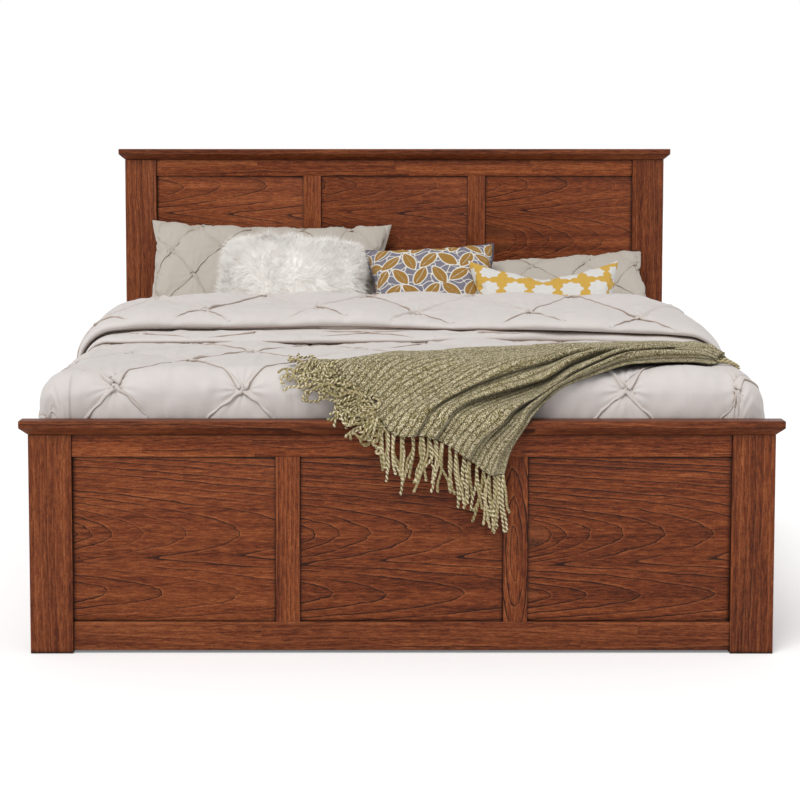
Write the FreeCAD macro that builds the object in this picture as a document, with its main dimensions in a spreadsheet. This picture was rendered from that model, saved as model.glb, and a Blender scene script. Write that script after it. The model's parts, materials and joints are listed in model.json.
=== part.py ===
"""King-size storage bed with panelled head and foot boards, four side drawers and made-up bedding.

Millimetres. X runs to the viewer's right, Y from the foot towards the head, Z up from the floor.
The foot board faces -Y. The origin is on the floor under the middle of the overall length.
"""
import FreeCAD, Part
import math
import os
import re

DIMENSIONS = {
    # Mattress and the room left round it inside the frame
    "mattress_width": 1930, "mattress_length": 2032, "mattress_height": 295,
    "mattress_corner": 45, "foot_gap": 30, "head_gap": 8, "side_gap": 15,
    # Head and foot boards
    "post_width": 118, "post_depth": 38,
    "cap_overhang": 22, "cap_edge": 20, "cap_bevel": 20,
    "headboard_height": 1395, "footboard_height": 650,
    "frame_thickness": 26, "frame_setback": 6, "panel_thickness": 10, "panel_recess": 6,
    "groove_depth": 10, "groove_play": 0.2, "panel_play": 1.5, "stile_width": 66,
    "tenon_length": 28, "tenon_thickness": 12, "tenon_shoulder": 12,
    "top_rail_height": 62, "headboard_lower_height": 120, "headboard_lower_bottom": 350,
    "footboard_lower_height": 80, "floor_gap": 8,
    # Side rails, platform and drawer cases
    "rail_inset": 20, "side_rail_thickness": 25, "platform_height": 440, "rail_lip": 30,
    "side_rail_height": 133, "plinth_height": 78, "plinth_setback": 12,
    "case_stile_width": 60, "partition_thickness": 18, "case_depth": 580, "back_thickness": 12,
    "slat_count": 14, "slat_width": 90, "slat_thickness": 20, "slat_end_gap": 40,
    "cleat_width": 20, "cleat_height": 30, "beam_width": 50, "beam_height": 85, "beam_gap": 6,
    "leg_count": 3, "leg_width": 46, "leg_end_gap": 330,
    "bracket_gauge": 4, "bracket_height": 160, "bracket_drop": 5, "bracket_clearance": 3,
    "screw_radius": 5, "screw_head": 3.5, "screw_inset": 20,
    # Drawers and their telescopic slides
    "front_thickness": 20, "front_reveal": 3, "drawer_depth": 540, "drawer_height": 180,
    "drawer_lift": 22, "drawer_board": 14, "drawer_floor": 8, "drawer_floor_rise": 12,
    "drawer_groove": 6, "drawer_floor_play": 0.3, "slide_space": 12.7, "slide_height": 45,
    "slide_gauge": 1.5, "slide_play": 0.5, "slide_length": 500, "slide_setback": 6,
    "knob_radius": 17, "knob_thickness": 15, "knob_projection": 27, "knob_stem": 6,
    "knob_rose": 11, "knob_rose_height": 3, "knob_spacing": 470,
    # Duvet
    "cloth_gap": 0.4, "duvet_loft": 42, "duvet_crown": 14, "duvet_shoulder": 78,
    "duvet_side": 22, "hem_clearance": 48, "hem_round": 8, "tuck_depth": 130, "tuck_gap": 3,
    "foot_round": 70, "fold_width": 560, "fold_rise": 92, "fold_round": 85, "fold_side": 9, "fold_shoulder": 30,
    "tuft_spacing": 356, "tuft_depth": 14, "tuft_radius": 60,
    # Pillows
    "seam_half": 7, "pillow_pull": 16, "lean_gap": 5,
    "sham_margin": 65, "sham_split": 20,
    "sham_left_height": 500, "sham_left_thickness": 150, "sham_left_lean": 50,
    "sham_right_height": 470, "sham_right_thickness": 124, "sham_right_lean": 34,
    "fur_width": 560, "fur_height": 440, "fur_thickness": 130, "fur_lean": 53, "fur_from_left": 255,
    "scroll_width": 455, "scroll_height": 420, "scroll_thickness": 110, "scroll_lean": 47,
    "lattice_width": 510, "lattice_height": 350, "lattice_thickness": 110, "lattice_lean": 46,
    "lattice_dip": 62, "lattice_overlap": 75, "pillow_gap": 5,
    # Throw
    "throw_gap": 0.8, "throw_thickness": 6, "throw_ridge": 8, "throw_fold_pitch": 110,
    "throw_length": 1385, "throw_reach": 840, "throw_hang": 145, "throw_turn": 84, "throw_bridge": 18,
}

DERIVED = {
    "rail_inner": "mattress_width / 2 + side_gap",
    "rail_outer": "rail_inner + side_rail_thickness",
    "half_width": "rail_outer + rail_inset",
    "cap_depth": "cap_overhang + post_depth",
    "cap_length": "2 * (half_width + cap_overhang)",
    "cap_height": "cap_edge + cap_bevel",
    "inside_length": "mattress_length + foot_gap + head_gap",
    "throw_front": "throw_gap + throw_thickness + throw_ridge",
    "overall_length": "throw_front + cap_overhang + 2 * post_depth + inside_length",
    "foot_face": "throw_front + cap_overhang - overall_length / 2",
    "foot_back": "foot_face + post_depth",
    "head_face": "foot_back + inside_length",
    "mattress_foot": "foot_back + foot_gap",
    "mattress_top": "platform_height + mattress_height",
    "opening_half": "half_width - post_width",
    "panel_opening": "(2 * opening_half - 2 * stile_width) / 3",
    "rail_top": "platform_height + rail_lip",
    "rail_bottom": "rail_top - side_rail_height",
    "slat_bottom": "platform_height - slat_thickness",
    "cleat_bottom": "slat_bottom - cleat_height",
    "plinth_top": "floor_gap + plinth_height",
    "case_back": "rail_inner - case_depth",
    "drawer_opening": "(inside_length - 3 * case_stile_width) / 2",
    "drawer_bottom": "plinth_top + drawer_lift",
    "slide_level": "drawer_bottom + drawer_height / 2",
    "drawer_face": "rail_outer - front_thickness",
    "drawer_width": "drawer_opening - 2 * slide_space",
    "bracket_room": "case_stile_width - partition_thickness",
    "bracket_arm": "bracket_room - bracket_clearance",
    "bracket_bottom": "cleat_bottom - bracket_drop - bracket_height",
    "leg_height": "slat_bottom - beam_height",
    "sham_width": "mattress_width / 2 - sham_margin",
}

doc = FreeCAD.newDocument("StorageBed")
sheet = doc.addObject("Spreadsheet::Sheet", "Dims")
for row, (alias, value) in enumerate(DIMENSIONS.items(), start=1):
    sheet.set(f"A{row}", alias)
    sheet.set(f"B{row}", str(value))
    sheet.setAlias(f"B{row}", alias)
doc.recompute()


def qualified(text):
    """Put the owner in front of every dimension or derived value named in an expression."""
    def owner(match):
        word = match.group(0)
        if word in DIMENSIONS:
            return "Dims." + word
        return "Layout." + word if word in DERIVED else word
    return re.sub(r"[a-z][a-z_]*", owner, str(text))


layout = doc.addObject("App::FeaturePython", "Layout")
for name, text in DERIVED.items():
    layout.addProperty("App::PropertyFloat", name)
    layout.setExpression(name, qualified(text))
doc.recompute()


def size(name):
    """Present value of a dimension from the sheet or of a value derived from it."""
    return float(getattr(sheet if name in DIMENSIONS else layout, name))


nodes = []


def as_node(item, label):
    """Name an object as one of the bed's pieces."""
    item.Label = label
    nodes.append(item)
    return item


def bind(item, **expressions):
    """Tie properties of an object to expressions."""
    for prop, text in expressions.items():
        item.setExpression(prop, qualified(text))


def place(item, corner):
    """Tie an object's position to three expressions."""
    for axis, text in zip("xyz", corner):
        item.setExpression(f"Placement.Base.{axis}", qualified(text))
    return item


def box(name, corner, extent):
    """Rectangular board from its low corner and its extent along X, Y and Z."""
    item = doc.addObject("Part::Box", name)
    bind(item, Length=extent[0], Width=extent[1], Height=extent[2])
    return place(item, corner)


def fused(name, pieces):
    """One solid from several that touch or cross."""
    item = doc.addObject("Part::MultiFuse", name)
    item.Shapes = pieces
    item.Refine = True
    return item


def cut(name, base, tools):
    """Take one or more tools away from a base."""
    item = doc.addObject("Part::Cut", name)
    item.Base = base
    item.Tool = tools[0] if len(tools) == 1 else fused(name + "_tools", tools)
    return item


def group(name, pieces):
    """Several separate solids of one kind as a single piece."""
    item = doc.addObject("Part::Compound", name)
    item.Links = pieces
    return as_node(item, name)


def soft(name, shape):
    """Free-form solid worked out from the sheet."""
    item = doc.addObject("Part::Feature", name)
    item.Shape = shape
    return as_node(item, name)


def mirrored(sign, inner, outer):
    """Low X corner and width of a board between two distances from the centre line."""
    low = f"({inner})" if sign > 0 else f"-({outer})"
    return low, f"({outer}) - ({inner})"


SIDES = {"left": -1, "right": 1}


def panelled_board(board, face, height, lower_bottom, lower_height):
    """Two posts, a bevelled cap, two rails, two stiles and three floating panels."""
    post_height = f"({height} - cap_height)"
    upper_bottom = f"({post_height} - top_rail_height)"
    lower_top = f"({lower_bottom} + {lower_height})"
    frame_y = f"{face} + frame_setback"
    tenon_y = f"{frame_y} + (frame_thickness - tenon_thickness) / 2"
    panel_y = f"{frame_y} + panel_recess"
    groove_y = f"{panel_y} - groove_play"
    groove_width = "panel_thickness + 2 * groove_play"
    opening_height = f"({upper_bottom} - {lower_top})"

    rails = {"top": (upper_bottom, "top_rail_height"), "bottom": (lower_bottom, lower_height)}
    for rail, (low, tall) in rails.items():
        name = f"{board}_{rail}_rail"
        body = box(name + "_body", ("-opening_half", frame_y, low),
                   ("2 * opening_half", "frame_thickness", tall))
        tenon = box(name + "_tenon",
                    ("-opening_half - tenon_length", tenon_y, f"{low} + tenon_shoulder"),
                    ("2 * opening_half + 2 * tenon_length", "tenon_thickness",
                     f"{tall} - 2 * tenon_shoulder"))
        groove_low = low if rail == "top" else f"{low} + {tall} - groove_depth"
        groove = box(name + "_groove", ("-opening_half", groove_y, groove_low),
                     ("2 * opening_half", groove_width, "groove_depth"))
        as_node(cut(name, fused(name + "_blank", [body, tenon]), [groove]), name)

    for side, sign in SIDES.items():
        name = f"{board}_post_{side}"
        low, wide = mirrored(sign, "opening_half", "half_width")
        blank = box(name + "_blank", (low, face, 0), (wide, "post_depth", post_height))
        low, wide = mirrored(sign, "opening_half", "opening_half + tenon_length + groove_play")
        tools = [box(f"{name}_{rail}_mortise",
                     (low, f"{tenon_y} - groove_play", f"{start} + tenon_shoulder - groove_play"),
                     (wide, "tenon_thickness + 2 * groove_play",
                      f"{tall} - 2 * tenon_shoulder + 2 * groove_play"))
                 for rail, (start, tall) in rails.items()]
        low, wide = mirrored(sign, "opening_half", "opening_half + groove_depth")
        tools.append(box(name + "_groove", (low, groove_y, f"{lower_top} - groove_depth"),
                         (wide, groove_width, f"{opening_height} + 2 * groove_depth")))
        as_node(cut(name, blank, tools), name)

    stiles = []
    panels = []
    for index in range(3):
        left = f"-opening_half + {index} * (panel_opening + stile_width)"
        panels.append(box(f"{board}_panel_{index}",
                          (f"{left} - groove_depth + panel_play", panel_y,
                           f"{lower_top} - groove_depth + panel_play"),
                          ("panel_opening + 2 * (groove_depth - panel_play)", "panel_thickness",
                           f"{opening_height} + 2 * (groove_depth - panel_play)")))
    for index in range(2):
        name = f"{board}_stile_{index}"
        left = f"-opening_half + panel_opening + {index} * (panel_opening + stile_width)"
        body = box(name + "_body", (left, frame_y, lower_top),
                   ("stile_width", "frame_thickness", opening_height))
        stub = box(name + "_stub",
                   (f"{left} + groove_depth", panel_y, f"{lower_top} - groove_depth + panel_play"),
                   ("stile_width - 2 * groove_depth", "panel_thickness",
                    f"{opening_height} + 2 * (groove_depth - panel_play)"))
        grooves = [box(f"{name}_groove_{side}", (start, groove_y, lower_top),
                       ("groove_depth", groove_width, opening_height))
                   for side, start in (("left", left), ("right", f"{left} + stile_width - groove_depth"))]
        stiles.append(cut(name, fused(name + "_blank", [body, stub]), grooves))
    group(f"{board}_stiles", stiles)
    group(f"{board}_panels", panels)

    as_node(box(f"{board}_cap", ("-cap_length / 2", f"{face} - cap_overhang", f"{height} - cap_edge"),
                ("cap_length", "cap_depth", "cap_edge")), f"{board}_cap")
    bevel = doc.addObject("Part::Wedge", f"{board}_moulding")
    bind(bevel, Xmin="-half_width", Xmax="half_width", X2min="-cap_length / 2", X2max="cap_length / 2",
         Ymin="0 * cap_bevel", Ymax="cap_bevel", Zmin="-post_depth", Z2min="-post_depth",
         Zmax="0 * cap_bevel", Z2max="cap_overhang")
    bevel.Placement = FreeCAD.Placement(FreeCAD.Vector(), FreeCAD.Rotation(FreeCAD.Vector(1, 0, 0), 90))
    as_node(place(bevel, ("0 * cap_bevel", face, post_height)), f"{board}_moulding")


panelled_board("headboard", "head_face", "headboard_height", "headboard_lower_bottom",
               "headboard_lower_height")
panelled_board("footboard", "foot_face", "footboard_height", "floor_gap", "footboard_lower_height")


# Side rails, plinths, face stiles, case partitions and backs
plinths = []
case_stiles = []
partitions = []
backs = []
cleats = []
for side, sign in SIDES.items():
    low, wide = mirrored(sign, "rail_inner", "rail_outer")
    as_node(box(f"side_rail_{side}", (low, "foot_back", "rail_bottom"),
                (wide, "inside_length", "side_rail_height")), f"side_rail_{side}")
    for index in range(3):
        start = f"foot_back + {index} * (case_stile_width + drawer_opening)"
        case_stiles.append(box(f"case_stile_{side}_{index}", (low, start, "plinth_top"),
                               (wide, "case_stile_width", "rail_bottom - plinth_top")))
    low, wide = mirrored(sign, "rail_inner", "rail_outer - plinth_setback")
    plinths.append(box(f"plinth_{side}", (low, "foot_back", "floor_gap"),
                       (wide, "inside_length", "plinth_height")))
    for index in range(2):
        start = f"foot_back + case_stile_width + {index} * (case_stile_width + drawer_opening)"
        low, wide = mirrored(sign, "case_back", "rail_inner")
        for end, wall in (("foot", f"{start} - partition_thickness"),
                          ("head", f"{start} + drawer_opening")):
            partitions.append(box(f"partition_{side}_{index}_{end}", (low, wall, 0),
                                  (wide, "partition_thickness", "cleat_bottom")))
    low, wide = mirrored(sign, "case_back - back_thickness", "case_back")
    backs.append(box(f"case_back_{side}", (low, "foot_back + bracket_room", "floor_gap"),
                     (wide, "inside_length - 2 * bracket_room", "slat_bottom - floor_gap")))
    low, wide = mirrored(sign, "rail_inner - cleat_width", "rail_inner")
    cleats.append(box(f"cleat_{side}", (low, "foot_back", "cleat_bottom"),
                      (wide, "inside_length", "cleat_height")))
group("plinths", plinths)
group("case_stiles", case_stiles)
group("case_partitions", partitions)
group("case_backs", backs)
group("slat_cleats", cleats)

slat_count = int(size("slat_count"))
slats = []
for index in range(slat_count):
    pitch = "(inside_length - 2 * slat_end_gap - slat_width) / (slat_count - 1)"
    slats.append(box(f"slat_{index}",
                     ("-rail_inner", f"foot_back + slat_end_gap + {index} * {pitch}", "slat_bottom"),
                     ("2 * rail_inner", "slat_width", "slat_thickness")))
group("slats", slats)
as_node(box("centre_beam", ("-beam_width / 2", "foot_back + beam_gap", "slat_bottom - beam_height"),
            ("beam_width", "inside_length - 2 * beam_gap", "beam_height")), "centre_beam")

leg_count = int(size("leg_count"))
legs = []
for index in range(leg_count):
    pitch = "(inside_length - 2 * leg_end_gap) / (leg_count - 1)"
    middle = f"foot_back + leg_end_gap + {index} * {pitch}"
    legs.append(box(f"leg_{index}", ("-leg_width / 2", f"{middle} - leg_width / 2", 0),
                    ("leg_width", "leg_width", "leg_height")))
group("centre_legs", legs)


def bracket_body(name):
    """Angle bracket as an L-shaped sketch padded along its height, corner at the origin."""
    body = doc.addObject("PartDesign::Body", name)
    sketch = body.newObject("Sketcher::SketchObject", name + "_profile")
    plane = next(item for item in body.Origin.OriginFeatures if item.Role == "XY_Plane")
    sketch.AttachmentSupport = [(plane, "")]
    sketch.MapMode = "FlatFace"
    arm, gauge = size("bracket_arm"), size("bracket_gauge")
    outline = [(0, 0), (arm, 0), (arm, gauge), (gauge, gauge), (gauge, arm), (0, arm)]
    corners = [FreeCAD.Vector(px, py, 0) for px, py in outline]
    count = len(corners)
    for index in range(count):
        sketch.addGeometry(Part.LineSegment(corners[index], corners[(index + 1) % count]), False)
    import Sketcher
    for index in range(count):
        sketch.addConstraint(Sketcher.Constraint("Coincident", index, 2, (index + 1) % count, 1))
        sketch.addConstraint(Sketcher.Constraint("Vertical" if index % 2 else "Horizontal", index))
    sketch.addConstraint(Sketcher.Constraint("Coincident", 0, 1, -1, 1))
    named = (("leg", "DistanceX", (0, 1, 0, 2), arm, "bracket_arm"),
             ("gauge", "DistanceY", (1, 1, 1, 2), gauge, "bracket_gauge"),
             ("web", "DistanceX", (4, 2, 4, 1), gauge, "bracket_gauge"),
             ("arm", "DistanceY", (5, 2, 5, 1), arm, "bracket_arm"))
    for label, kind, ends, value, text in named:
        index = sketch.addConstraint(Sketcher.Constraint(kind, *ends, value))
        sketch.renameConstraint(index, label)
        sketch.setExpression(f"Constraints.{label}", qualified(text))
    pad = body.newObject("PartDesign::Pad", name + "_pad")
    pad.Profile = sketch
    sketch.Visibility = False
    bind(pad, Length="bracket_height")
    return body


# Angle brackets in the inner corners between the posts and the side rails, with their screws
brackets = []
screws = []
for side, sign in SIDES.items():
    for end, wall, inward in (("foot", "foot_back", 1), ("head", "head_face", -1)):
        body = bracket_body(f"bracket_{side}_{end}")
        turn = {(1, 1): 90, (1, -1): 180, (-1, 1): 0, (-1, -1): 270}[(sign, inward)]
        body.Placement = FreeCAD.Placement(FreeCAD.Vector(),
                                           FreeCAD.Rotation(FreeCAD.Vector(0, 0, 1), turn))
        place(body, (f"{sign} * rail_inner", wall, "bracket_bottom"))
        brackets.append(body)
        for height in ("screw_inset", "bracket_height - screw_inset"):
            screw = doc.addObject("Part::Cylinder", f"bracket_screw_{len(screws)}")
            bind(screw, Radius="screw_radius", Height="screw_head")
            screw.Placement = FreeCAD.Placement(
                FreeCAD.Vector(), FreeCAD.Rotation(FreeCAD.Vector(0, 1, 0), -90 * sign))
            place(screw, (f"{sign} * (rail_inner - bracket_gauge)",
                          f"{wall} + {inward} * (bracket_arm + bracket_gauge) / 2",
                          f"bracket_bottom + {height}"))
            screws.append(screw)
group("rail_brackets", brackets + screws)


def channel(name, sign, wall, facing, web, lip, half_height, open_in):
    """One member of a drawer slide: a web and two lips, measured outwards from the case wall."""
    pieces = []
    low, wide = mirrored(sign, "rail_inner - slide_setback - slide_length", "rail_inner - slide_setback")
    spans = [(web[0], web[1], f"-({half_height})", f"2 * ({half_height})"),
             (lip[0], lip[1], f"({half_height}) - slide_gauge", "slide_gauge"),
             (lip[0], lip[1], f"-({half_height})", "slide_gauge")]
    for index, (start, stop, bottom, tall) in enumerate(spans):
        corner = f"{wall} + ({start})" if facing > 0 else f"{wall} - ({stop})"
        pieces.append(box(f"{name}_{index}", (low, corner, f"slide_level + {bottom}"),
                          (wide, f"({stop}) - ({start})", tall)))
    return fused(name, pieces)


# Slide members, from the case wall to the drawer side
INNER_HALF = "slide_height / 2 - 2 * slide_gauge - 2 * slide_play"
MIDDLE_HALF = "slide_height / 2 - slide_gauge - slide_play"
MIDDLE_WEB = "2 * slide_gauge + slide_play"
INNER_WEB = "slide_space - slide_gauge"
MEMBERS = {
    "outer": (("0", "slide_gauge"), ("0", "slide_space - 2 * slide_gauge - slide_play"),
              "slide_height / 2"),
    "middle": ((MIDDLE_WEB, f"{MIDDLE_WEB} + slide_gauge"), (MIDDLE_WEB, f"{INNER_WEB} - slide_play"),
               MIDDLE_HALF),
    "inner": ((INNER_WEB, "slide_space"), (f"{MIDDLE_WEB} + slide_gauge + slide_play", "slide_space"),
              INNER_HALF),
}


def knob(name, sign, along, level):
    """Round knob on a rose and a stem, turned out from a drawer front."""
    turn = FreeCAD.Placement(FreeCAD.Vector(), FreeCAD.Rotation(FreeCAD.Vector(0, 1, 0), 90 * sign))
    rose = doc.addObject("Part::Cylinder", name + "_rose")
    bind(rose, Radius="knob_rose", Height="knob_rose_height")
    stem = doc.addObject("Part::Cylinder", name + "_stem")
    bind(stem, Radius="knob_stem", Height="knob_projection - knob_thickness / 2")
    head = doc.addObject("Part::Ellipsoid", name + "_head")
    bind(head, Radius1="knob_thickness / 2", Radius2="knob_radius", Radius3="knob_radius")
    reach = {rose: "rail_outer", stem: "rail_outer",
             head: "rail_outer + knob_projection - knob_thickness / 2"}
    for item, distance in reach.items():
        item.Placement = turn
        place(item, (f"{sign} * ({distance})", along, level))
    return fused(name, [rose, stem, head])


fixed_members = []
for side, sign in SIDES.items():
    for index, end in enumerate(("foot", "head")):
        name = f"drawer_{side}_{end}"
        start = f"(foot_back + case_stile_width + {index} * (case_stile_width + drawer_opening))"
        stop = f"({start} + drawer_opening)"
        low, wide = mirrored(sign, "drawer_face", "rail_outer")
        as_node(box(name + "_front", (low, f"{start} + front_reveal", "plinth_top + front_reveal"),
                    (wide, "drawer_opening - 2 * front_reveal",
                     "rail_bottom - plinth_top - 2 * front_reveal")), name + "_front")

        inner = "drawer_face - drawer_depth"
        first = f"{start} + slide_space"
        last = f"{start} + slide_space + drawer_width"
        floor_low = "drawer_bottom + drawer_floor_rise"
        low, wide = mirrored(sign, f"{inner} + drawer_board - drawer_groove",
                             "drawer_face - drawer_board + drawer_groove")
        slot = box(name + "_slot",
                   (low, f"{first} + drawer_board - drawer_groove", floor_low),
                   (wide, "drawer_width - 2 * (drawer_board - drawer_groove)", "drawer_floor"))
        low, wide = mirrored(
            sign, f"{inner} + drawer_board - drawer_groove + drawer_floor_play",
            "drawer_face - drawer_board + drawer_groove - drawer_floor_play")
        as_node(box(name + "_bottom",
                    (low, f"{first} + drawer_board - drawer_groove + drawer_floor_play", floor_low),
                    (wide, "drawer_width - 2 * (drawer_board - drawer_groove + drawer_floor_play)",
                     "drawer_floor")), name + "_bottom")
        low, wide = mirrored(sign, inner, "drawer_face")
        boards = [box(f"{name}_side_{tag}", (low, at, "drawer_bottom"),
                      (wide, "drawer_board", "drawer_height"))
                  for tag, at in (("near", first), ("far", f"{last} - drawer_board"))]
        for tag, reach in (("back", (inner, f"{inner} + drawer_board")),
                           ("fore", ("drawer_face - drawer_board", "drawer_face"))):
            low, wide = mirrored(sign, *reach)
            boards.append(box(f"{name}_{tag}", (low, f"{first} + drawer_board", "drawer_bottom"),
                              (wide, "drawer_width - 2 * drawer_board", "drawer_height")))
        group(name + "_box", [cut(item.Name + "_slotted", item, [slot]) for item in boards])

        middle = f"({start} + drawer_opening / 2)"
        level = "(plinth_top + rail_bottom) / 2"
        group(name + "_knobs", [knob(f"{name}_knob_{tag}", sign, f"{middle} + {offset} * knob_spacing / 2",
                                     level) for tag, offset in (("foot", -1), ("head", 1))])

        moving = {"middle": [], "inner": []}
        for tag, wall, facing in (("foot", start, 1), ("head", stop, -1)):
            for member, (web, lip, half) in MEMBERS.items():
                piece = channel(f"{name}_{member}_{tag}", sign, wall, facing, web, lip, half, member)
                moving.get(member, fixed_members).append(piece)
        group(name + "_slide_middle", moving["middle"])
        group(name + "_slide_inner", moving["inner"])
group("slide_outer_members", fixed_members)


# Mattress with rounded upright corners
def rounded_block(half_x, low_y, high_y, low_z, high_z, radius):
    """Upright block with four rounded corners."""
    k = radius * (1 - math.sqrt(0.5))
    points = [(-half_x, low_y + radius), (-half_x, high_y - radius), (-half_x + k, high_y - k),
              (-half_x + radius, high_y), (half_x - radius, high_y), (half_x - k, high_y - k),
              (half_x, high_y - radius), (half_x, low_y + radius), (half_x - k, low_y + k),
              (half_x - radius, low_y), (-half_x + radius, low_y), (-half_x + k, low_y + k)]
    v = [FreeCAD.Vector(px, py, low_z) for px, py in points]
    edges = []
    for index in range(0, 12, 3):
        edges.append(Part.LineSegment(v[index], v[index + 1]).toShape())
        edges.append(Part.Arc(v[index + 1], v[index + 2], v[(index + 3) % 12]).toShape())
    return Part.Face(Part.Wire(edges)).extrude(FreeCAD.Vector(0, 0, high_z - low_z))


mattress_top = size("mattress_top")
mattress_foot = size("mattress_foot")
mattress_head = mattress_foot + size("mattress_length")
soft("mattress", rounded_block(size("mattress_width") / 2, mattress_foot, mattress_head,
                               size("platform_height"), mattress_top, size("mattress_corner")))


# Duvet: sections across the bed, lofted from the foot to the roll of the fold
def duvet_section(y, half, top, crown, shoulder, hollow_top, hem_outer):
    """Closed section across the bed: hem, sides, rounded shoulders and a crowned top, hollow below."""
    gap = size("cloth_gap")
    hem = size("rail_bottom") + size("hem_clearance")
    rail_x = size("rail_outer") + gap
    rail_z = size("rail_top") + gap
    bed_x = size("mattress_width") / 2 + gap
    rounding = size("hem_round")
    k = shoulder * (1 - math.sqrt(0.5))
    shoulder_x = half - shoulder
    shoulder_z = top - shoulder

    def at(px, pz):
        return FreeCAD.Vector(px, y, pz)

    def line(a, b):
        return Part.LineSegment(at(*a), at(*b)).toShape()

    def arc(a, b, c):
        return Part.Arc(at(*a), at(*b), at(*c)).toShape()

    return Part.Wire([
        line((-rail_x, hem), (-hem_outer + rounding, hem)),
        line((-hem_outer + rounding, hem), (-hem_outer, hem + rounding)),
        line((-hem_outer, hem + rounding), (-half, shoulder_z)),
        arc((-half, shoulder_z), (-half + k, top - k), (-shoulder_x, top)),
        arc((-shoulder_x, top), (0, top + crown), (shoulder_x, top)),
        arc((shoulder_x, top), (half - k, top - k), (half, shoulder_z)),
        line((half, shoulder_z), (hem_outer, hem + rounding)),
        line((hem_outer, hem + rounding), (hem_outer - rounding, hem)),
        line((hem_outer - rounding, hem), (rail_x, hem)),
        line((rail_x, hem), (rail_x, rail_z)),
        line((rail_x, rail_z), (bed_x, rail_z)),
        line((bed_x, rail_z), (bed_x, hollow_top)),
        line((bed_x, hollow_top), (-bed_x, hollow_top)),
        line((-bed_x, hollow_top), (-bed_x, rail_z)),
        line((-bed_x, rail_z), (-rail_x, rail_z)),
        line((-rail_x, rail_z), (-rail_x, hem)),
    ])


duvet_half = size("rail_outer") + size("cloth_gap") + size("duvet_side")
duvet_top = mattress_top + size("duvet_loft")
duvet_start = size("foot_back") + size("tuck_gap")
foot_round = size("foot_round")
hollow = mattress_top + size("cloth_gap")


def foot_drop(y):
    """Fall of the duvet's top below its full height at the rounded foot end."""
    run = max(0.0, foot_round - (y - duvet_start))
    return foot_round - math.sqrt(max(foot_round ** 2 - run ** 2, 0.0))


def plain_section(y, hollow_top):
    """Section of the single layer, drawn in towards the foot."""
    drop = foot_drop(y) * 0.75
    inset = foot_drop(y) * 0.2
    return duvet_section(y, duvet_half - inset, duvet_top - drop, size("duvet_crown"),
                         size("duvet_shoulder"), hollow_top, duvet_half - 0.3 * inset)


# Pillows: where each one sits, from its lean and from what it leans on
def lens_share(u):
    """Share of a pillow's full thickness at u, from -1 at one side to 1 at the other."""
    return (1 - abs(u) ** 2.2) ** 0.62


def pillow_solid(width, height, thickness, lean, middle, seat, dip):
    """Pillow lofted from two-arc sections, thin at the seams, with drawn-in top and bottom edges."""
    seam = size("seam_half")
    pull = size("pillow_pull")
    sections = []
    count = 13
    for index in range(count):
        u = -math.cos(math.pi * index / (count - 1))
        draw = 1 - u * u
        half = seam + 1.5 + (thickness / 2 - seam - 1.5) * lens_share(u)
        low = pull * draw
        high = height - (pull + dip) * draw
        mid = (low + high) / 2
        x = u * width / 2
        corner = [FreeCAD.Vector(x, low, seam), FreeCAD.Vector(x, high, seam),
                  FreeCAD.Vector(x, high, -seam), FreeCAD.Vector(x, low, -seam)]
        front, back = FreeCAD.Vector(x, mid, half), FreeCAD.Vector(x, mid, -half)
        sections.append(Part.Wire([
            Part.Arc(corner[0], front, corner[1]).toShape(),
            Part.LineSegment(corner[1], corner[2]).toShape(),
            Part.Arc(corner[2], back, corner[3]).toShape(),
            Part.LineSegment(corner[3], corner[0]).toShape()]))
    solid = Part.makeLoft(sections, True, True)
    seat_z = mattress_top + size("cloth_gap") + seam * math.cos(math.radians(lean))
    solid.Placement = FreeCAD.Placement(FreeCAD.Vector(middle, seat, seat_z),
                                        FreeCAD.Rotation(FreeCAD.Vector(1, 0, 0), lean))
    return solid


def lean_back(height, lean):
    """Depth a pillow takes up from its foot to its leaning top edge."""
    angle = math.radians(lean)
    return height * math.cos(angle) + size("seam_half") * math.sin(angle)


sham_centre = (size("sham_split") + size("sham_width")) / 2
sham_seat = {}
for side in SIDES:
    sham_seat[side] = (size("head_face") - size("lean_gap")
                       - lean_back(size(f"sham_{side}_height"), size(f"sham_{side}_lean")))


def in_front(seat, behind, own, lean):
    """Seat of a pillow standing clear in front of another one."""
    return seat - (behind + own) / 2 / math.sin(math.radians(lean)) - size("pillow_gap")


fur_middle = size("fur_from_left") + size("fur_width") / 2 - sham_centre - size("sham_width") / 2
fur_seat = in_front(sham_seat["left"], size("sham_left_thickness"), size("fur_thickness"), size("fur_lean"))
scroll_middle = fur_middle + (size("fur_width") + size("scroll_width")) / 2 + size("pillow_gap")
scroll_seat = in_front(sham_seat["left"], size("sham_left_thickness"), size("scroll_thickness"),
                       size("scroll_lean"))
overlap = size("lattice_overlap")
lattice_middle = scroll_middle + (size("scroll_width") + size("lattice_width")) / 2 - overlap
scroll_share = lens_share(1 - 2 * overlap / size("scroll_width"))
lattice_share = lens_share(1 - 2 * overlap / size("lattice_width"))
lattice_seat = in_front(scroll_seat, size("scroll_thickness") * scroll_share,
                        size("lattice_thickness") * lattice_share, size("lattice_lean"))
for side, sign in SIDES.items():
    soft(f"sham_{side}", pillow_solid(size("sham_width"), size(f"sham_{side}_height"),
                                      size(f"sham_{side}_thickness"), size(f"sham_{side}_lean"),
                                      sign * sham_centre, sham_seat[side], 0))
for name, middle, seat, dip in (("fur", fur_middle, fur_seat, 0), ("scroll", scroll_middle, scroll_seat, 0),
                                ("lattice", lattice_middle, lattice_seat, size("lattice_dip"))):
    soft(f"{name}_pillow", pillow_solid(size(f"{name}_width"), size(f"{name}_height"),
                                        size(f"{name}_thickness"), size(f"{name}_lean"),
                                        middle, seat, dip))

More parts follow.
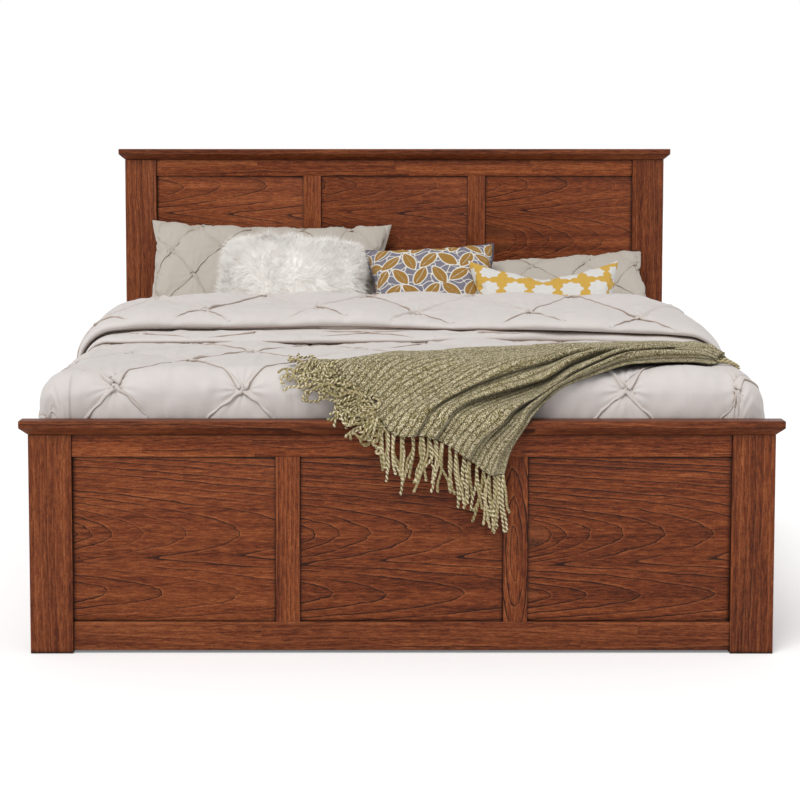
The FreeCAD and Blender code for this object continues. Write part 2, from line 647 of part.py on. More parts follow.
# The fold of the duvet ends just before the foremost pillow
fold_end = min(fur_seat, scroll_seat, lattice_seat) - size("pillow_gap") - size("seam_half")
fold_start = fold_end - size("fold_width")
fold_rise = size("fold_rise")
fold_round = min(size("fold_round"), size("fold_width") / 2)
fold_half = duvet_half + size("fold_side")


def fold_section(y, share):
    """Section where the duvet is folded back over itself, at a share of the fold's full rise."""
    return duvet_section(y, duvet_half + size("fold_side") * share, duvet_top + fold_rise * share,
                         size("duvet_crown"), size("duvet_shoulder") + size("fold_shoulder") * share, hollow,
                         duvet_half + size("fold_side") * share)


tuck_top = mattress_top - size("tuck_depth")
split = mattress_foot - size("cloth_gap")
pad_stations = [duvet_start + (split - duvet_start) * share for share in (0, 0.3, 0.65, 1)]
foot_pad = Part.makeLoft([plain_section(y, tuck_top) for y in pad_stations], True, True)
top_stations = [split, split + 0.35 * (duvet_start + foot_round - split), duvet_start + foot_round,
                duvet_start + foot_round + 0.5 * (fold_start - duvet_start - foot_round)]
sections = [plain_section(y, hollow) for y in top_stations]
rise_steps = ((0, 0), (0.12, 0.45), (0.4, 0.8), (0.8, 0.96))
sections += [fold_section(fold_start + fold_round * run, share) for run, share in rise_steps]
sections.append(fold_section((fold_start + fold_end) / 2, 1.0))
sections += [fold_section(fold_end - fold_round * run, share)
             for run, share in ((0.8, 0.97), (0.4, 0.82), (0.12, 0.5), (0, 0.1))]
duvet = foot_pad.fuse(Part.makeLoft(sections, True, True)).removeSplitter()

# Sewn tufts: shallow hollows in staggered rows over the single layer and the fold
spacing = size("tuft_spacing")
tuft_radius = size("tuft_radius")
tufts = []
rows = [(duvet_start + foot_round + spacing * 0.5 * (k + 0.6), k, 0.0) for k in range(12)]
for y, k, rise in rows:
    on_fold = fold_start + fold_round < y < fold_end - fold_round
    if not on_fold and y > fold_start - tuft_radius:
        continue
    columns = range(-2, 3) if k % 2 == 0 else range(-2, 2)
    for column in columns:
        x = (column + (0 if k % 2 == 0 else 0.5)) * spacing
        shoulder_x = duvet_half - size("duvet_shoulder")
        crown = size("duvet_crown") * (1 - (x / shoulder_x) ** 2)
        top = duvet_top + crown + (fold_rise if on_fold else 0)
        tufts.append(Part.makeSphere(tuft_radius, FreeCAD.Vector(x, y, top + tuft_radius - size("tuft_depth"))))
duvet = duvet.cut(tufts)
soft("duvet", duvet)


# Throw: a folded band over the foot of the duvet and the foot board's cap, hanging down its face
cap_front = size("foot_face") - size("cap_overhang")
cap_top = size("footboard_height")
throw_gap = size("throw_gap")
crown = size("duvet_crown")
shoulder = size("duvet_shoulder")
shoulder_x = duvet_half - shoulder
crown_radius = (shoulder_x ** 2 + crown ** 2) / (2 * crown)
crown_centre = FreeCAD.Vector(0, 0, duvet_top + crown - crown_radius)
Y_AXIS = FreeCAD.Vector(0, 1, 0)
# Where the hanging corner begins, is lowest and ends, as distances in from the duvet's right side
hang_left, hang_low, hang_right = (share * size("throw_length") for share in (0.787, 0.544, 0.485))


def throw_line():
    """Under side of the throw at the bed's centre line, from its hanging end up over the foot."""
    front = cap_front - throw_gap
    lift = throw_gap + crown
    rest = cap_top + throw_gap + (duvet_half - hang_right) ** 2 / (2 * crown_radius)
    line = [(front, cap_top - size("throw_hang")), (front, cap_top),
            (cap_front, rest), (duvet_start - size("throw_bridge"), rest + throw_gap)]
    for y in pad_stations + top_stations[1:3]:
        out = throw_gap * (y < mattress_foot)
        line.append((y - out, duvet_top - 0.75 * foot_drop(y) + lift))
    line.append((fold_start, duvet_top + lift))
    return line


def dense(line, step):
    """The same line with points added at a regular step along each straight run."""
    points = []
    for a, b in zip(line, line[1:]):
        count = max(1, round(math.dist(a, b) / step))
        points += [tuple(p + (q - p) * k / count for p, q in zip(a, b)) for k in range(count)]
    return points + [line[-1]]


def band_face(points):
    """Face in the centre plane between the throw's under side and its ridged upper side."""
    upper = []
    gone = 0.0
    for index, (y, z) in enumerate(points):
        before, after = points[max(index - 1, 0)], points[min(index + 1, len(points) - 1)]
        dy, dz = after[0] - before[0], after[1] - before[1]
        run = math.hypot(dy, dz)
        gone += math.dist(points[max(index - 1, 0)], (y, z))
        ridge = 0.5 - 0.5 * math.cos(2 * math.pi * gone / size("throw_fold_pitch"))
        thick = size("throw_thickness") + size("throw_ridge") * ridge
        upper.append((max(y - dz / run * thick, cap_front - size("throw_front")), z + dy / run * thick))
    outline = [FreeCAD.Vector(0, y, z) for y, z in points + upper[::-1]]
    return Part.Face(Part.makePolygon(outline + outline[:1]))


def swing(x):
    """Turn about the crown's centre that carries the centre plane out to x, in degrees."""
    return math.degrees(math.asin(x / crown_radius))


def prism(points, direction):
    """Solid with a flat outline pushed along one direction."""
    outline = [FreeCAD.Vector(*point) for point in points]
    return Part.Face(Part.makePolygon(outline + outline[:1])).extrude(FreeCAD.Vector(*direction))


throw_left = duvet_half - size("throw_length")
throw_points = dense(throw_line(), size("throw_fold_pitch") / 5)
band = band_face(throw_points)
band.rotate(crown_centre, Y_AXIS, swing(throw_left))
band = band.revolve(crown_centre, Y_AXIS, swing(shoulder_x) - swing(throw_left))

# Plan of the part on the bed, as distances in from the right side and behind the cap's front edge
throw_length = size("throw_length")
throw_reach = size("throw_reach")
split_run = size("cap_overhang")
crest_run = duvet_start - cap_front + throw_gap
end_low, end_high = 0.48 * throw_reach, throw_reach
plan = [(throw_length, 0.3 * throw_reach), (0.744 * throw_length, 0.65 * throw_reach),
        (0.511 * throw_length, 0.88 * throw_reach), (0.272 * throw_length, 0.976 * throw_reach),
        (-shoulder, end_high), (-shoulder, end_low), (0.24 * throw_length, 0.42 * throw_reach),
        (0.394 * throw_length, crest_run), (hang_right, split_run), (hang_left, split_run),
        (0.885 * throw_length, crest_run)]
top_cutter = prism([(duvet_half - inset, cap_front + run, 0) for inset, run in plan],
                   (0, 0, 2 * size("headboard_height")))
fall = [(hang_left, 2 * cap_top), (hang_left, cap_top), (hang_low, cap_top - 0.95 * size("throw_hang")),
        (0.97 * hang_low, cap_top - 0.95 * size("throw_hang")), (hang_right, cap_top), (hang_right, 2 * cap_top)]
front_cutter = prism([(duvet_half - inset, cap_front + split_run, z) for inset, z in fall],
                     (0, -3 * split_run, 0))

# The right end turns down over the duvet's side
end_points = [(y, z) for y, z in throw_points if end_low <= y - cap_front <= end_high and z > duvet_top]
turned = band_face(end_points)
turned.rotate(crown_centre, Y_AXIS, swing(shoulder_x))
turned = turned.revolve(FreeCAD.Vector(shoulder_x, 0, duvet_top - shoulder), Y_AXIS, size("throw_turn"))
throw = band.common(top_cutter).fuse(band.common(front_cutter)).fuse(turned)
soft("throw", throw.removeSplitter())

doc.recompute()
for item in doc.Objects:
    if "Invalid" in item.State or "Error" in item.State:
        raise RuntimeError(f"{item.Label} did not recompute: {item.State}")
os.makedirs("parts", exist_ok=True)
for item in nodes:
    shape = item.Shape
    if shape.isNull() or not shape.isValid():
        raise RuntimeError(f"{item.Label} has no valid shape")
    shape.exportStep(f"parts/{item.Label}.step")
    print(item.Label, len(shape.Solids), round(shape.Volume / 1e6, 3))
print(len(nodes), "pieces")
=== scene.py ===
# %% [markdown]
# This lesson dresses a storage bed that was packed in CAD. The CAD model is the fixed frame: every board
# and drawer already sits where it belongs, in metres. Here the boards get a finish, and all the bedding,
# which CAD can only block out, is made again as cloth, filling, fur and yarn.

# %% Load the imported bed
import json
import math
from functools import partial
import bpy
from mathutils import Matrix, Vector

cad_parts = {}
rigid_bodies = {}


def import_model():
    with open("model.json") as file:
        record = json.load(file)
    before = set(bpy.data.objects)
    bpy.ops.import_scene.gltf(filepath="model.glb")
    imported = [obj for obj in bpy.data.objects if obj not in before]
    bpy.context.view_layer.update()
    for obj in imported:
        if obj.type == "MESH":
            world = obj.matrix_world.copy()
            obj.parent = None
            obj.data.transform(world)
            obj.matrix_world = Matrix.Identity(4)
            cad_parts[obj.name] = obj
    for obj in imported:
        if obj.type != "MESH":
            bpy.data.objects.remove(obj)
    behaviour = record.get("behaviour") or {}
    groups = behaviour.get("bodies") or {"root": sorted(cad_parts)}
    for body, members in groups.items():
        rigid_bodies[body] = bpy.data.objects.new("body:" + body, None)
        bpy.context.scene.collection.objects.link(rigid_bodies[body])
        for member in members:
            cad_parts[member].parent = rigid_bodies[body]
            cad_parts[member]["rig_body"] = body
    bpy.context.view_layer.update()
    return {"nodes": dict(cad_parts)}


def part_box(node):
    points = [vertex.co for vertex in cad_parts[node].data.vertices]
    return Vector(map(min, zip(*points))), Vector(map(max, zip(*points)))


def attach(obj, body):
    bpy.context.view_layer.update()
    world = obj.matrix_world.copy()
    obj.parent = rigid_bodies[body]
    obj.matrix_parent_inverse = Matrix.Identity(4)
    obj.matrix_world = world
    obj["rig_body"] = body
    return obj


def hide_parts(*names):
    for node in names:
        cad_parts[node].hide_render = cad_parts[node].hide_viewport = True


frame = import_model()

from types import SimpleNamespace

import bmesh
import bpy
import numpy as np

dice = np.random.default_rng(28)

# %% [markdown]
# First the studio: a pale floor, a soft lamp and an even sky, so that a colour comes out about as it is
# written. The background is white only for rays from the camera, reflections and glass; the light that
# falls on the bed comes from a dimmer sky and one broad lamp. The camera stands at the foot of the bed,
# at the height of the head board's cap, and looks slightly down with a long lens.

# %% Studio
scene = bpy.context.scene
scene.view_settings.view_transform = "Standard"


def new_tree(owner):
    """Empty node tree of a material or world."""
    owner.use_nodes = True
    owner.node_tree.nodes.clear()
    return owner.node_tree


def node(tree, kind, inputs=(), out=0, **settings):
    """One shader node: its settings, its inputs in order (a socket is linked, None is skipped), and the
    output that is wanted."""
    made = tree.nodes.new(kind)
    for key, value in settings.items():
        setattr(made, key, value)
    for socket, value in zip(made.inputs, inputs):
        if isinstance(value, bpy.types.NodeSocket):
            tree.links.new(value, socket)
        elif value is not None:
            socket.default_value = value
    return made.outputs[out] if made.outputs else None


def math_node(tree, operation, *values):
    """One step of arithmetic between sockets or numbers."""
    return node(tree, "ShaderNodeMath", values, operation=operation)


world = bpy.data.worlds.new("studio_sky")
scene.world = world
tree = new_tree(world)
rays = tree.nodes.new("ShaderNodeLightPath")
seen = math_node(tree, "MAXIMUM", rays.outputs["Is Camera Ray"], rays.outputs["Is Glossy Ray"])
seen = math_node(tree, "MAXIMUM", seen, rays.outputs["Is Transmission Ray"])
sky_light, white_light = 0.50, 1.0
strength = math_node(tree, "MULTIPLY_ADD", seen, white_light - sky_light, sky_light)
sky = node(tree, "ShaderNodeBackground", [(1, 1, 1, 1), strength])
node(tree, "ShaderNodeOutputWorld", [sky])

lamp_data = bpy.data.lights.new("broad_lamp", "SUN")
lamp_data.energy = 1.75
lamp_data.angle = math.radians(34)
lamp = bpy.data.objects.new("broad_lamp", lamp_data)
lamp.rotation_euler = (math.radians(36), 0, math.radians(-24))
scene.collection.objects.link(lamp)
print("studio: sky and one broad lamp")

# %% Floor and camera
floor_reach, floor_level, floor_glow = 40, -0.0005, 0.19
floor_mesh = bpy.data.meshes.new("floor")
floor_mesh.from_pydata([(x * floor_reach, y * floor_reach, floor_level)
                        for x, y in ((-1, -1), (1, -1), (1, 1), (-1, 1))], [], [(0, 1, 2, 3)])
floor = bpy.data.objects.new("floor", floor_mesh)
scene.collection.objects.link(floor)
paper = bpy.data.materials.new("white_paper")
tree = new_tree(paper)
diffuse = node(tree, "ShaderNodeBsdfDiffuse", [(0.95, 0.95, 0.95, 1)])
rays = tree.nodes.new("ShaderNodeLightPath")
glow = math_node(tree, "MULTIPLY", rays.outputs["Is Camera Ray"], floor_glow)
lit = node(tree, "ShaderNodeEmission", [(1, 1, 1, 1), glow])
node(tree, "ShaderNodeOutputMaterial", [node(tree, "ShaderNodeAddShader", [diffuse, lit])])
floor_mesh.materials.append(paper)

look_down, look_aside = 4.492, 0.02
camera_data = bpy.data.cameras.new("camera")
camera_data.sensor_width = 36
camera_data.lens = 86.12
camera_data.shift_x = 0.032
camera_data.shift_y = -0.12
camera = bpy.data.objects.new("camera", camera_data)
camera.location = (-0.0733, -6.2509, 1.3773)
camera.rotation_euler = (math.radians(90 - look_down), 0, math.radians(look_aside))
scene.collection.objects.link(camera)
scene.camera = camera
print("camera at", [round(v, 3) for v in camera.location])

# %% [markdown]
# The boards are flat-sawn timber stained red-brown. A photograph pasted on would repeat, so the grain is
# worked out in space: a board cut along the trunk slices the tree's rings at a slant and shows them as nested
# arches, close to parabolas, which crowd together on their flanks. Each ring darkens slowly, ends in a thin
# line and starts again pale, as real late and early wood do. Every board draws its own random numbers from
# the cell of space that it stands in. First come the small helpers that all finishes share.

# %% Finish helpers


def new_finish(name):
    """Empty material and its node tree."""
    material = bpy.data.materials.new(name)
    return material, new_tree(material)


def mix_colour(tree, share, first, second):
    """Colour between two others, by share."""
    made = tree.nodes.new("ShaderNodeMix")
    made.data_type = "RGBA"
    for index, value in ((0, share), (6, first), (7, second)):
        if isinstance(value, bpy.types.NodeSocket):
            tree.links.new(value, made.inputs[index])
        else:
            made.inputs[index].default_value = value
    return made.outputs[2]


def ramp(tree, value, *stops):
    """Colour ramp through stops of place and colour; a plain number is a grey."""
    made = tree.nodes.new("ShaderNodeValToRGB")
    tree.links.new(value, made.inputs[0])
    points = made.color_ramp.elements
    while len(points) < len(stops):
        points.new(0.5)
    for point, (place, colour) in zip(points, stops):
        point.position = place
        point.color = colour if hasattr(colour, "__len__") else (colour, colour, colour, 1)
    return made.outputs[0]


def from_screen(red, green, blue):
    """Linear colour from the 0 to 255 values that a screen shows."""
    share = np.array([red, green, blue]) / 255
    linear = np.where(share > 0.04045, ((share + 0.055) / 1.055) ** 2.4, share / 12.92)
    return (*linear.tolist(), 1)


def vector(tree, *values):
    """Three numbers or sockets as one vector."""
    return node(tree, "ShaderNodeCombineXYZ", values)


def split(tree, kind, value):
    """The three parts of a colour or a place; kind is Color or XYZ."""
    made = tree.nodes.new("ShaderNodeSeparate" + kind)
    tree.links.new(value, made.inputs[0])
    return tuple(made.outputs)


def scaled(tree, place, scale):
    """A place multiplied by its own factor along each axis."""
    return node(tree, "ShaderNodeMapping", [place, None, None, scale])


def painted_shade_share(tree, distance, *stops):
    """Ramp of how open a place is to within a distance; its low end is deep in a corner or fold. The finishes
    use it as the share of a painted shade there.
    """
    made = tree.nodes.new("ShaderNodeAmbientOcclusion")
    made.samples = 6
    made.inputs["Distance"].default_value = distance
    return ramp(tree, made.outputs["AO"], *stops)


def noise(tree, place, scale, detail=2.0, roughness=0.5):
    """Smooth noise from 0 to 1."""
    return node(tree, "ShaderNodeTexNoise", [place, None, scale, detail, roughness])


def surface(tree, colour, roughness, height=None, depth=0.001, **constants):
    """Principled surface with linked colour, roughness and bump; constants go straight on its sockets."""
    shader = tree.nodes.new("ShaderNodeBsdfPrincipled")
    for socket, value in (("Base Color", colour), ("Roughness", roughness)):
        if isinstance(value, bpy.types.NodeSocket):
            tree.links.new(value, shader.inputs[socket])
        else:
            shader.inputs[socket].default_value = value
    for name, value in constants.items():
        shader.inputs[name.replace("_", " ")].default_value = value
    if height is not None:
        bump = tree.nodes.new("ShaderNodeBump")
        bump.inputs["Distance"].default_value = depth
        tree.links.new(height, bump.inputs["Height"])
        tree.links.new(bump.outputs[0], shader.inputs["Normal"])
    node(tree, "ShaderNodeOutputMaterial", [shader.outputs[0]])


# %% Places on a board


def board_places(tree, along, pitch, shift, strip):
    """Where a point lies on its own board, as sockets. Boards are cells of pitch metres in X, moved by shift
    of a cell, and glued strips of strip metres in Z; each board draws three chances. Run and across are
    measured along and across the grain, and deep into the board. The near ones count from the middle of the
    board's cell, and the far ones are moved by chance, so that no two boards share their noise."""
    maths = partial(math_node, tree)
    x, y, z = split(tree, "XYZ", node(tree, "ShaderNodeTexCoord", out=3))
    row, cell_place = 3.0, maths("MULTIPLY_ADD", x, 1 / pitch, 0.5 - shift)
    if strip:
        row = maths("FLOOR", maths("DIVIDE", z, strip))
        row_luck = node(tree, "ShaderNodeTexWhiteNoise", [None, row], noise_dimensions="1D")
        cell_place = maths("MULTIPLY_ADD", row_luck, 3.0, cell_place)
    cell = maths("FLOOR", cell_place)
    local_x = maths("MULTIPLY_ADD", maths("ADD", cell, shift), -pitch, x)
    level = maths("FLOOR", maths("MULTIPLY_ADD", y, 0.9, 0.5))
    luck = node(tree, "ShaderNodeTexWhiteNoise", [vector(tree, cell, level, row)], out=1)
    chances = split(tree, "Color", luck)
    run, across, deep = {"X": (x, z, y), "Y": (y, z, x), "Z": (z, x, y)}[along]
    near_run, near_across = {"X": (local_x, z), "Y": (y, z), "Z": (z, local_x)}[along]
    return SimpleNamespace(cell=cell, chances=chances, run=run, deep=deep,
                           near_run=near_run, near_across=near_across,
                           far_run=maths("MULTIPLY_ADD", chances[0], 19.0, run),
                           far_across=maths("MULTIPLY_ADD", chances[1], 7.0, across))


def stretched(tree, board, along_scale, across_scale, detail=2.0, roughness=0.5):
    """Noise drawn out along a board's grain."""
    place = vector(tree, math_node(tree, "MULTIPLY", board.far_run, along_scale),
                   math_node(tree, "MULTIPLY", board.far_across, across_scale),
                   math_node(tree, "MULTIPLY", board.deep, across_scale))
    return noise(tree, place, 1.0, detail, roughness)


# %% Rings of the tree


def ring_numbers(tree, board, hearts, ovals, density):
    """Ring number at each point, and how fast it climbs there, in rings to the metre. A heart is (along,
    across, opening, spread): the ring number is the square root of (distance past the heart + offset squared
    / opening) / spread, so the rings are nested parabolas with tips 1, 4, 9 and more spreads past the heart.
    An oval is (along, across, length, width) of its first ring on the board in cell 0, and lies half a metre
    to one side of each next cell. With neither, rings are counted straight across the board, density to the
    metre."""
    maths = partial(math_node, tree)
    first, second, _ = board.chances
    wander = stretched(tree, board, 1.6, 7.0)
    bend = maths("MULTIPLY_ADD", wander, 0.030, -0.015)
    bend = maths("MULTIPLY_ADD", stretched(tree, board, 14.0, 34.0), 0.0070, bend)
    bend = maths("MULTIPLY_ADD", stretched(tree, board, 60.0, 160.0), 0.0016, bend)
    bent = maths("ADD", board.near_across, bend)
    moved = maths("MULTIPLY_ADD", first, 0.10, maths("ADD", board.near_run, -0.10))
    moved = maths("MULTIPLY_ADD", stretched(tree, board, 4.0, 14.0), 0.07, moved)
    moved = maths("MULTIPLY_ADD", stretched(tree, board, 16.0, 55.0, 3.0, 0.6), 0.035, moved)
    slid = maths("MULTIPLY_ADD", second, 0.03, maths("ADD", bent, -0.015))
    fields = []
    for heart_run, heart_across, opening, spread in hearts:
        past = maths("SUBTRACT", moved, heart_run)
        off = maths("DIVIDE", maths("SUBTRACT", slid, heart_across), opening)
        reach = maths("MULTIPLY_ADD", maths("MULTIPLY", off, off), opening, past)
        number = maths("SQRT", maths("DIVIDE", maths("MAXIMUM", reach, 0.0006), spread))
        slope = maths("SQRT", maths("MULTIPLY_ADD", off, off, 0.25))
        fields.append((number, maths("DIVIDE", slope, maths("MULTIPLY", number, spread))))
    for oval_run, oval_across, long, wide in ovals:
        past = maths("DIVIDE", maths("SUBTRACT", moved, oval_run), long)
        off = maths("MULTIPLY_ADD", board.cell, 0.5, maths("SUBTRACT", slid, oval_across))
        off = maths("DIVIDE", off, wide)
        number = maths("SQRT", maths("MULTIPLY_ADD", past, past, maths("MULTIPLY_ADD", off, off, 0.01)))
        tilt, lean_over = maths("DIVIDE", past, long), maths("DIVIDE", off, wide)
        slope = maths("SQRT", maths("MULTIPLY_ADD", tilt, tilt, maths("MULTIPLY", lean_over, lean_over)))
        fields.append((number, maths("DIVIDE", slope, number)))
    if not fields:
        slant = maths("MULTIPLY_ADD", first, 0.03, -0.015)
        straight = maths("MULTIPLY_ADD", board.run, slant, maths("MULTIPLY_ADD", wander, 0.03, bent))
        straight = maths("MULTIPLY_ADD", board.deep, 0.8, straight)
        fields.append((maths("MULTIPLY", straight, density), density))
    rings, steepness = fields[0]
    for number, slope in fields[1:]:
        nearer = maths("LESS_THAN", number, rings)
        steepness = maths("MULTIPLY_ADD", nearer, maths("SUBTRACT", slope, steepness), steepness)
        rings = maths("SMOOTH_MIN", rings, number, 0.8)
    return rings, steepness


# %% Red-brown wood
wood_tones = ((0.28, (70, 28, 8)), (0.46, (110, 50, 22)), (0.62, (136, 70, 34)), (0.80, (164, 95, 54)))


def wood_finish(name, along, pitch=0.6267, shift=0.0, hearts=(), ovals=(), strip=None, tone=1.0,
                density=70.0):
    """Stained wood with its grain along one axis: broad and fine streaks pick the colour, times tone; a ring
    starts pale and ends in a dark line, stronger on some rings than on others; flecks are dark, and corners
    get a painted shade.
    board_places and ring_numbers say what the other values mean. An oval's lines are faint outside cell 0."""
    material, tree = new_finish(name)
    maths = partial(math_node, tree)
    board = board_places(tree, along, pitch, shift, strip)
    rings, steepness = ring_numbers(tree, board, hearts, ovals, density)
    _, second, third = board.chances
    count = maths("ADD", rings, 40.0)
    whole = maths("FLOOR", count)
    share = maths("SUBTRACT", count, whole)
    before = maths("DIVIDE", maths("SUBTRACT", 1.0, share), steepness)
    after = maths("DIVIDE", share, steepness)
    first_ring = maths("MULTIPLY", maths("FLOOR", maths("MULTIPLY", second, 9.0)), 50.0)
    ring_luck = node(tree, "ShaderNodeTexWhiteNoise", [None, maths("ADD", whole, first_ring)],
                     noise_dimensions="1D")
    lowest, power, strength = (0.30, 1.1, 1.6) if hearts or ovals else (0.02, 2.6, 0.9)
    patchy = ramp(tree, stretched(tree, board, 6.0, 30.0), (0.32, 0.25), (0.52, 1.0))
    kept = maths("MULTIPLY_ADD", maths("POWER", ring_luck, power), 1 - lowest, lowest)
    kept = maths("MULTIPLY", kept, patchy)
    line = ramp(tree, maths("MULTIPLY", before, 100.0), (0.12, 1.0), (0.42, 0.0))
    late = maths("MULTIPLY", maths("POWER", share, 5.0), 0.24)
    line = maths("MULTIPLY", maths("MAXIMUM", line, late), kept)
    if ovals:
        line = maths("MULTIPLY", line, maths("MULTIPLY_ADD", board.cell, 0.72, 1.0))
    early = ramp(tree, maths("MULTIPLY", after, 100.0), (0.05, 0.24), (0.60, 0.0))

    streak = stretched(tree, board, 1.5, 42.0, 4.0, 0.65)
    fine = stretched(tree, board, 28.0, 230.0, 4.0, 0.80)
    flecks = ramp(tree, stretched(tree, board, 150.0, 560.0), (0.52, 0.0), (0.68, 1.0))
    blend = maths("MULTIPLY_ADD", fine, 1.25, maths("MULTIPLY", streak, 0.75))
    blend = maths("MULTIPLY_ADD", third, 0.17 if strip else 0.12, maths("SUBTRACT", blend, 0.54))
    colour = ramp(tree, blend, *((place, from_screen(*(value * tone for value in screen)))
                                 for place, screen in wood_tones))
    colour = mix_colour(tree, maths("MULTIPLY", early, patchy), colour, from_screen(196, 116, 70))
    dark = maths("MULTIPLY_ADD", flecks, 0.42, maths("MULTIPLY", line, strength))
    dark = maths("MINIMUM", dark, 0.92)
    colour = mix_colour(tree, dark, colour, from_screen(34, 12, 5))
    # Painted shade: ambient occlusion darkens the corners and recesses between boards, where shade falls.
    colour = mix_colour(tree, painted_shade_share(tree, 0.016, (0.52, 1.0), (0.86, 0.0)), colour, from_screen(22, 9, 4))
    rough = maths("MULTIPLY_ADD", fine, 0.16, 0.38)
    height = maths("MULTIPLY", maths("ADD", dark, maths("MULTIPLY", fine, 0.4)), -1.0)
    surface(tree, colour, rough, height, 0.0004, Specular_IOR_Level=0.2)
    return material


foot_panel_wood = wood_finish("foot_panel_wood", "X", hearts=((-0.25, 0.335, 0.022, 0.013),
                                                              (-0.27, 0.168, 0.010, 0.030)))
head_panel_wood = wood_finish("head_panel_wood", "X", tone=1.03, hearts=((-0.33, 1.255, 0.016, 0.020),
                                                                         (-0.20, 1.04, 0.030, 0.013)))
upright_wood = wood_finish("upright_wood", "Z", pitch=0.966, tone=0.94, density=52.0)
stile_wood = wood_finish("stile_wood", "Z", shift=0.5)
oval_stile_wood = wood_finish("oval_stile_wood", "Z", shift=0.5, ovals=((0.33, 0.0, 0.075, 0.013),))
rail_wood = wood_finish("rail_wood", "X", pitch=0.52, shift=0.2, strip=0.031, tone=1.07, density=45.0)
low_rail_wood = wood_finish("low_rail_wood", "X", pitch=0.52, shift=0.2, strip=0.040, tone=0.93, density=45.0)
cap_wood = wood_finish("cap_wood", "X", pitch=9.0, tone=0.90, density=52.0)
side_wood = wood_finish("side_wood", "Y", pitch=9.0)
print("wood finishes made")

# %% [markdown]
# A saw leaves sharp arrises, but a joiner eases them, and it is the small rounded edges that catch the
# light. CAD meshes are loose triangles, so each visible board is copied, its doubled points are merged,
# flat triangles become whole faces again, and a Bevel modifier rounds the edges by a millimetre or two.

# %% Eased boards


def eased_board(node_name, finish, width=0.0016):
    """Copy of a CAD board with merged points, whole faces and rounded edges, standing for that board."""
    source = frame["nodes"][node_name]
    shape = bmesh.new()
    shape.from_mesh(source.data)
    bmesh.ops.remove_doubles(shape, verts=shape.verts, dist=2e-5)
    bmesh.ops.dissolve_limit(shape, angle_limit=math.radians(1), verts=shape.verts, edges=shape.edges)
    mesh = bpy.data.meshes.new(node_name + "_eased")
    shape.to_mesh(mesh)
    shape.free()
    mesh.materials.clear()
    mesh.materials.append(finish)
    mesh.polygons.foreach_set("use_smooth", np.ones(len(mesh.polygons), bool))
    board = bpy.data.objects.new(node_name + "_eased", mesh)
    scene.collection.objects.link(board)
    bevel = board.modifiers.new("eased edges", "BEVEL")
    bevel.width = width
    bevel.segments = 2
    bevel.limit_method = "ANGLE"
    bevel.angle_limit = math.radians(30)
    bevel.harden_normals = True
    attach(board, source["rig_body"])
    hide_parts(node_name)
    return board


for end, panel_finish, stile_finish in (("headboard", head_panel_wood, stile_wood),
                                        ("footboard", foot_panel_wood, oval_stile_wood)):
    eased_board(f"{end}_panels", panel_finish)
    eased_board(f"{end}_stiles", stile_finish)
    for piece in ("post_left", "post_right"):
        eased_board(f"{end}_{piece}", upright_wood, 0.0022)
    eased_board(f"{end}_top_rail", rail_wood)
    eased_board(f"{end}_bottom_rail", low_rail_wood)
    for piece in ("cap", "moulding"):
        eased_board(f"{end}_{piece}", cap_wood)
drawers = [f"drawer_{side}_{end}" for side in ("left", "right") for end in ("foot", "head")]
for name in ("side_rail_left", "side_rail_right", "plinths", *(f"{drawer}_front" for drawer in drawers)):
    eased_board(name, side_wood)
eased_board("case_stiles", wood_finish("case_stile_wood", "Z", pitch=9.0))

# %% [markdown]
# What only shows when a drawer is open keeps its CAD shape and gets a finish: pale softwood for boxes and
# slats, zinc-plated steel for slides and brackets, and dark bronze for the knobs.

# %% Hidden boards and hardware


def pale_board_finish(along):
    """Pale softwood: long soft streaks along one axis and faint darker pores."""
    material, tree = new_finish("pale_softwood_" + along.lower())
    place = node(tree, "ShaderNodeTexCoord", out=3)
    streak_scale = [2.2 if axis == along else 38 for axis in "XYZ"]
    pore_scale = [12 if axis == along else 360 for axis in "XYZ"]
    streak = noise(tree, scaled(tree, place, streak_scale), 1.0, 4.0, 0.6)
    fine = noise(tree, scaled(tree, place, pore_scale), 1.0)
    colour = ramp(tree, streak, (0.30, from_screen(176, 140, 96)), (0.55, from_screen(206, 174, 128)),
                  (0.75, from_screen(222, 196, 154)))
    colour = mix_colour(tree, math_node(tree, "MULTIPLY", fine, 0.25), colour, from_screen(150, 112, 72))
    rough = math_node(tree, "MULTIPLY_ADD", fine, 0.2, 0.5)
    surface(tree, colour, rough, fine, 0.0003, Specular_IOR_Level=0.3)
    return material


def metal_finish(name, base, mottle, rough, brushed):
    """Metal whose tone and gloss drift with noise; brushed sets how fine the noise runs along each axis."""
    material, tree = new_finish(name)
    place = node(tree, "ShaderNodeTexCoord", out=3)
    cloud = noise(tree, place, 35.0, 3.0)
    grain = noise(tree, scaled(tree, place, brushed), 1.0)
    colour = mix_colour(tree, cloud, base, mottle)
    gloss = math_node(tree, "MULTIPLY_ADD", grain, 0.2, rough)
    surface(tree, colour, gloss, grain, 0.0001, Metallic=1.0)
    return material


softwood, cross_softwood, upright_softwood = (pale_board_finish(axis) for axis in "YXZ")
zinc = metal_finish("zinc_plate", from_screen(188, 190, 194), from_screen(160, 163, 168), 0.28,
                    (40, 900, 900))
bronze = metal_finish("dark_bronze", from_screen(74, 62, 54), from_screen(48, 40, 36), 0.30,
                      (300, 300, 300))
hidden = {"slats": cross_softwood, "slat_cleats": softwood, "centre_beam": softwood,
          "centre_legs": upright_softwood, "case_partitions": cross_softwood, "case_backs": softwood,
          "rail_brackets": zinc, "slide_outer_members": zinc}
for drawer in drawers:
    hidden.update({drawer + "_box": softwood, drawer + "_bottom": softwood, drawer + "_knobs": bronze,
                   drawer + "_slide_middle": zinc, drawer + "_slide_inner": zinc})
for name, finish in hidden.items():
    frame["nodes"][name].data.materials.clear()
    frame["nodes"][name].data.materials.append(finish)
print("CAD nodes given a finish:", len(hidden))

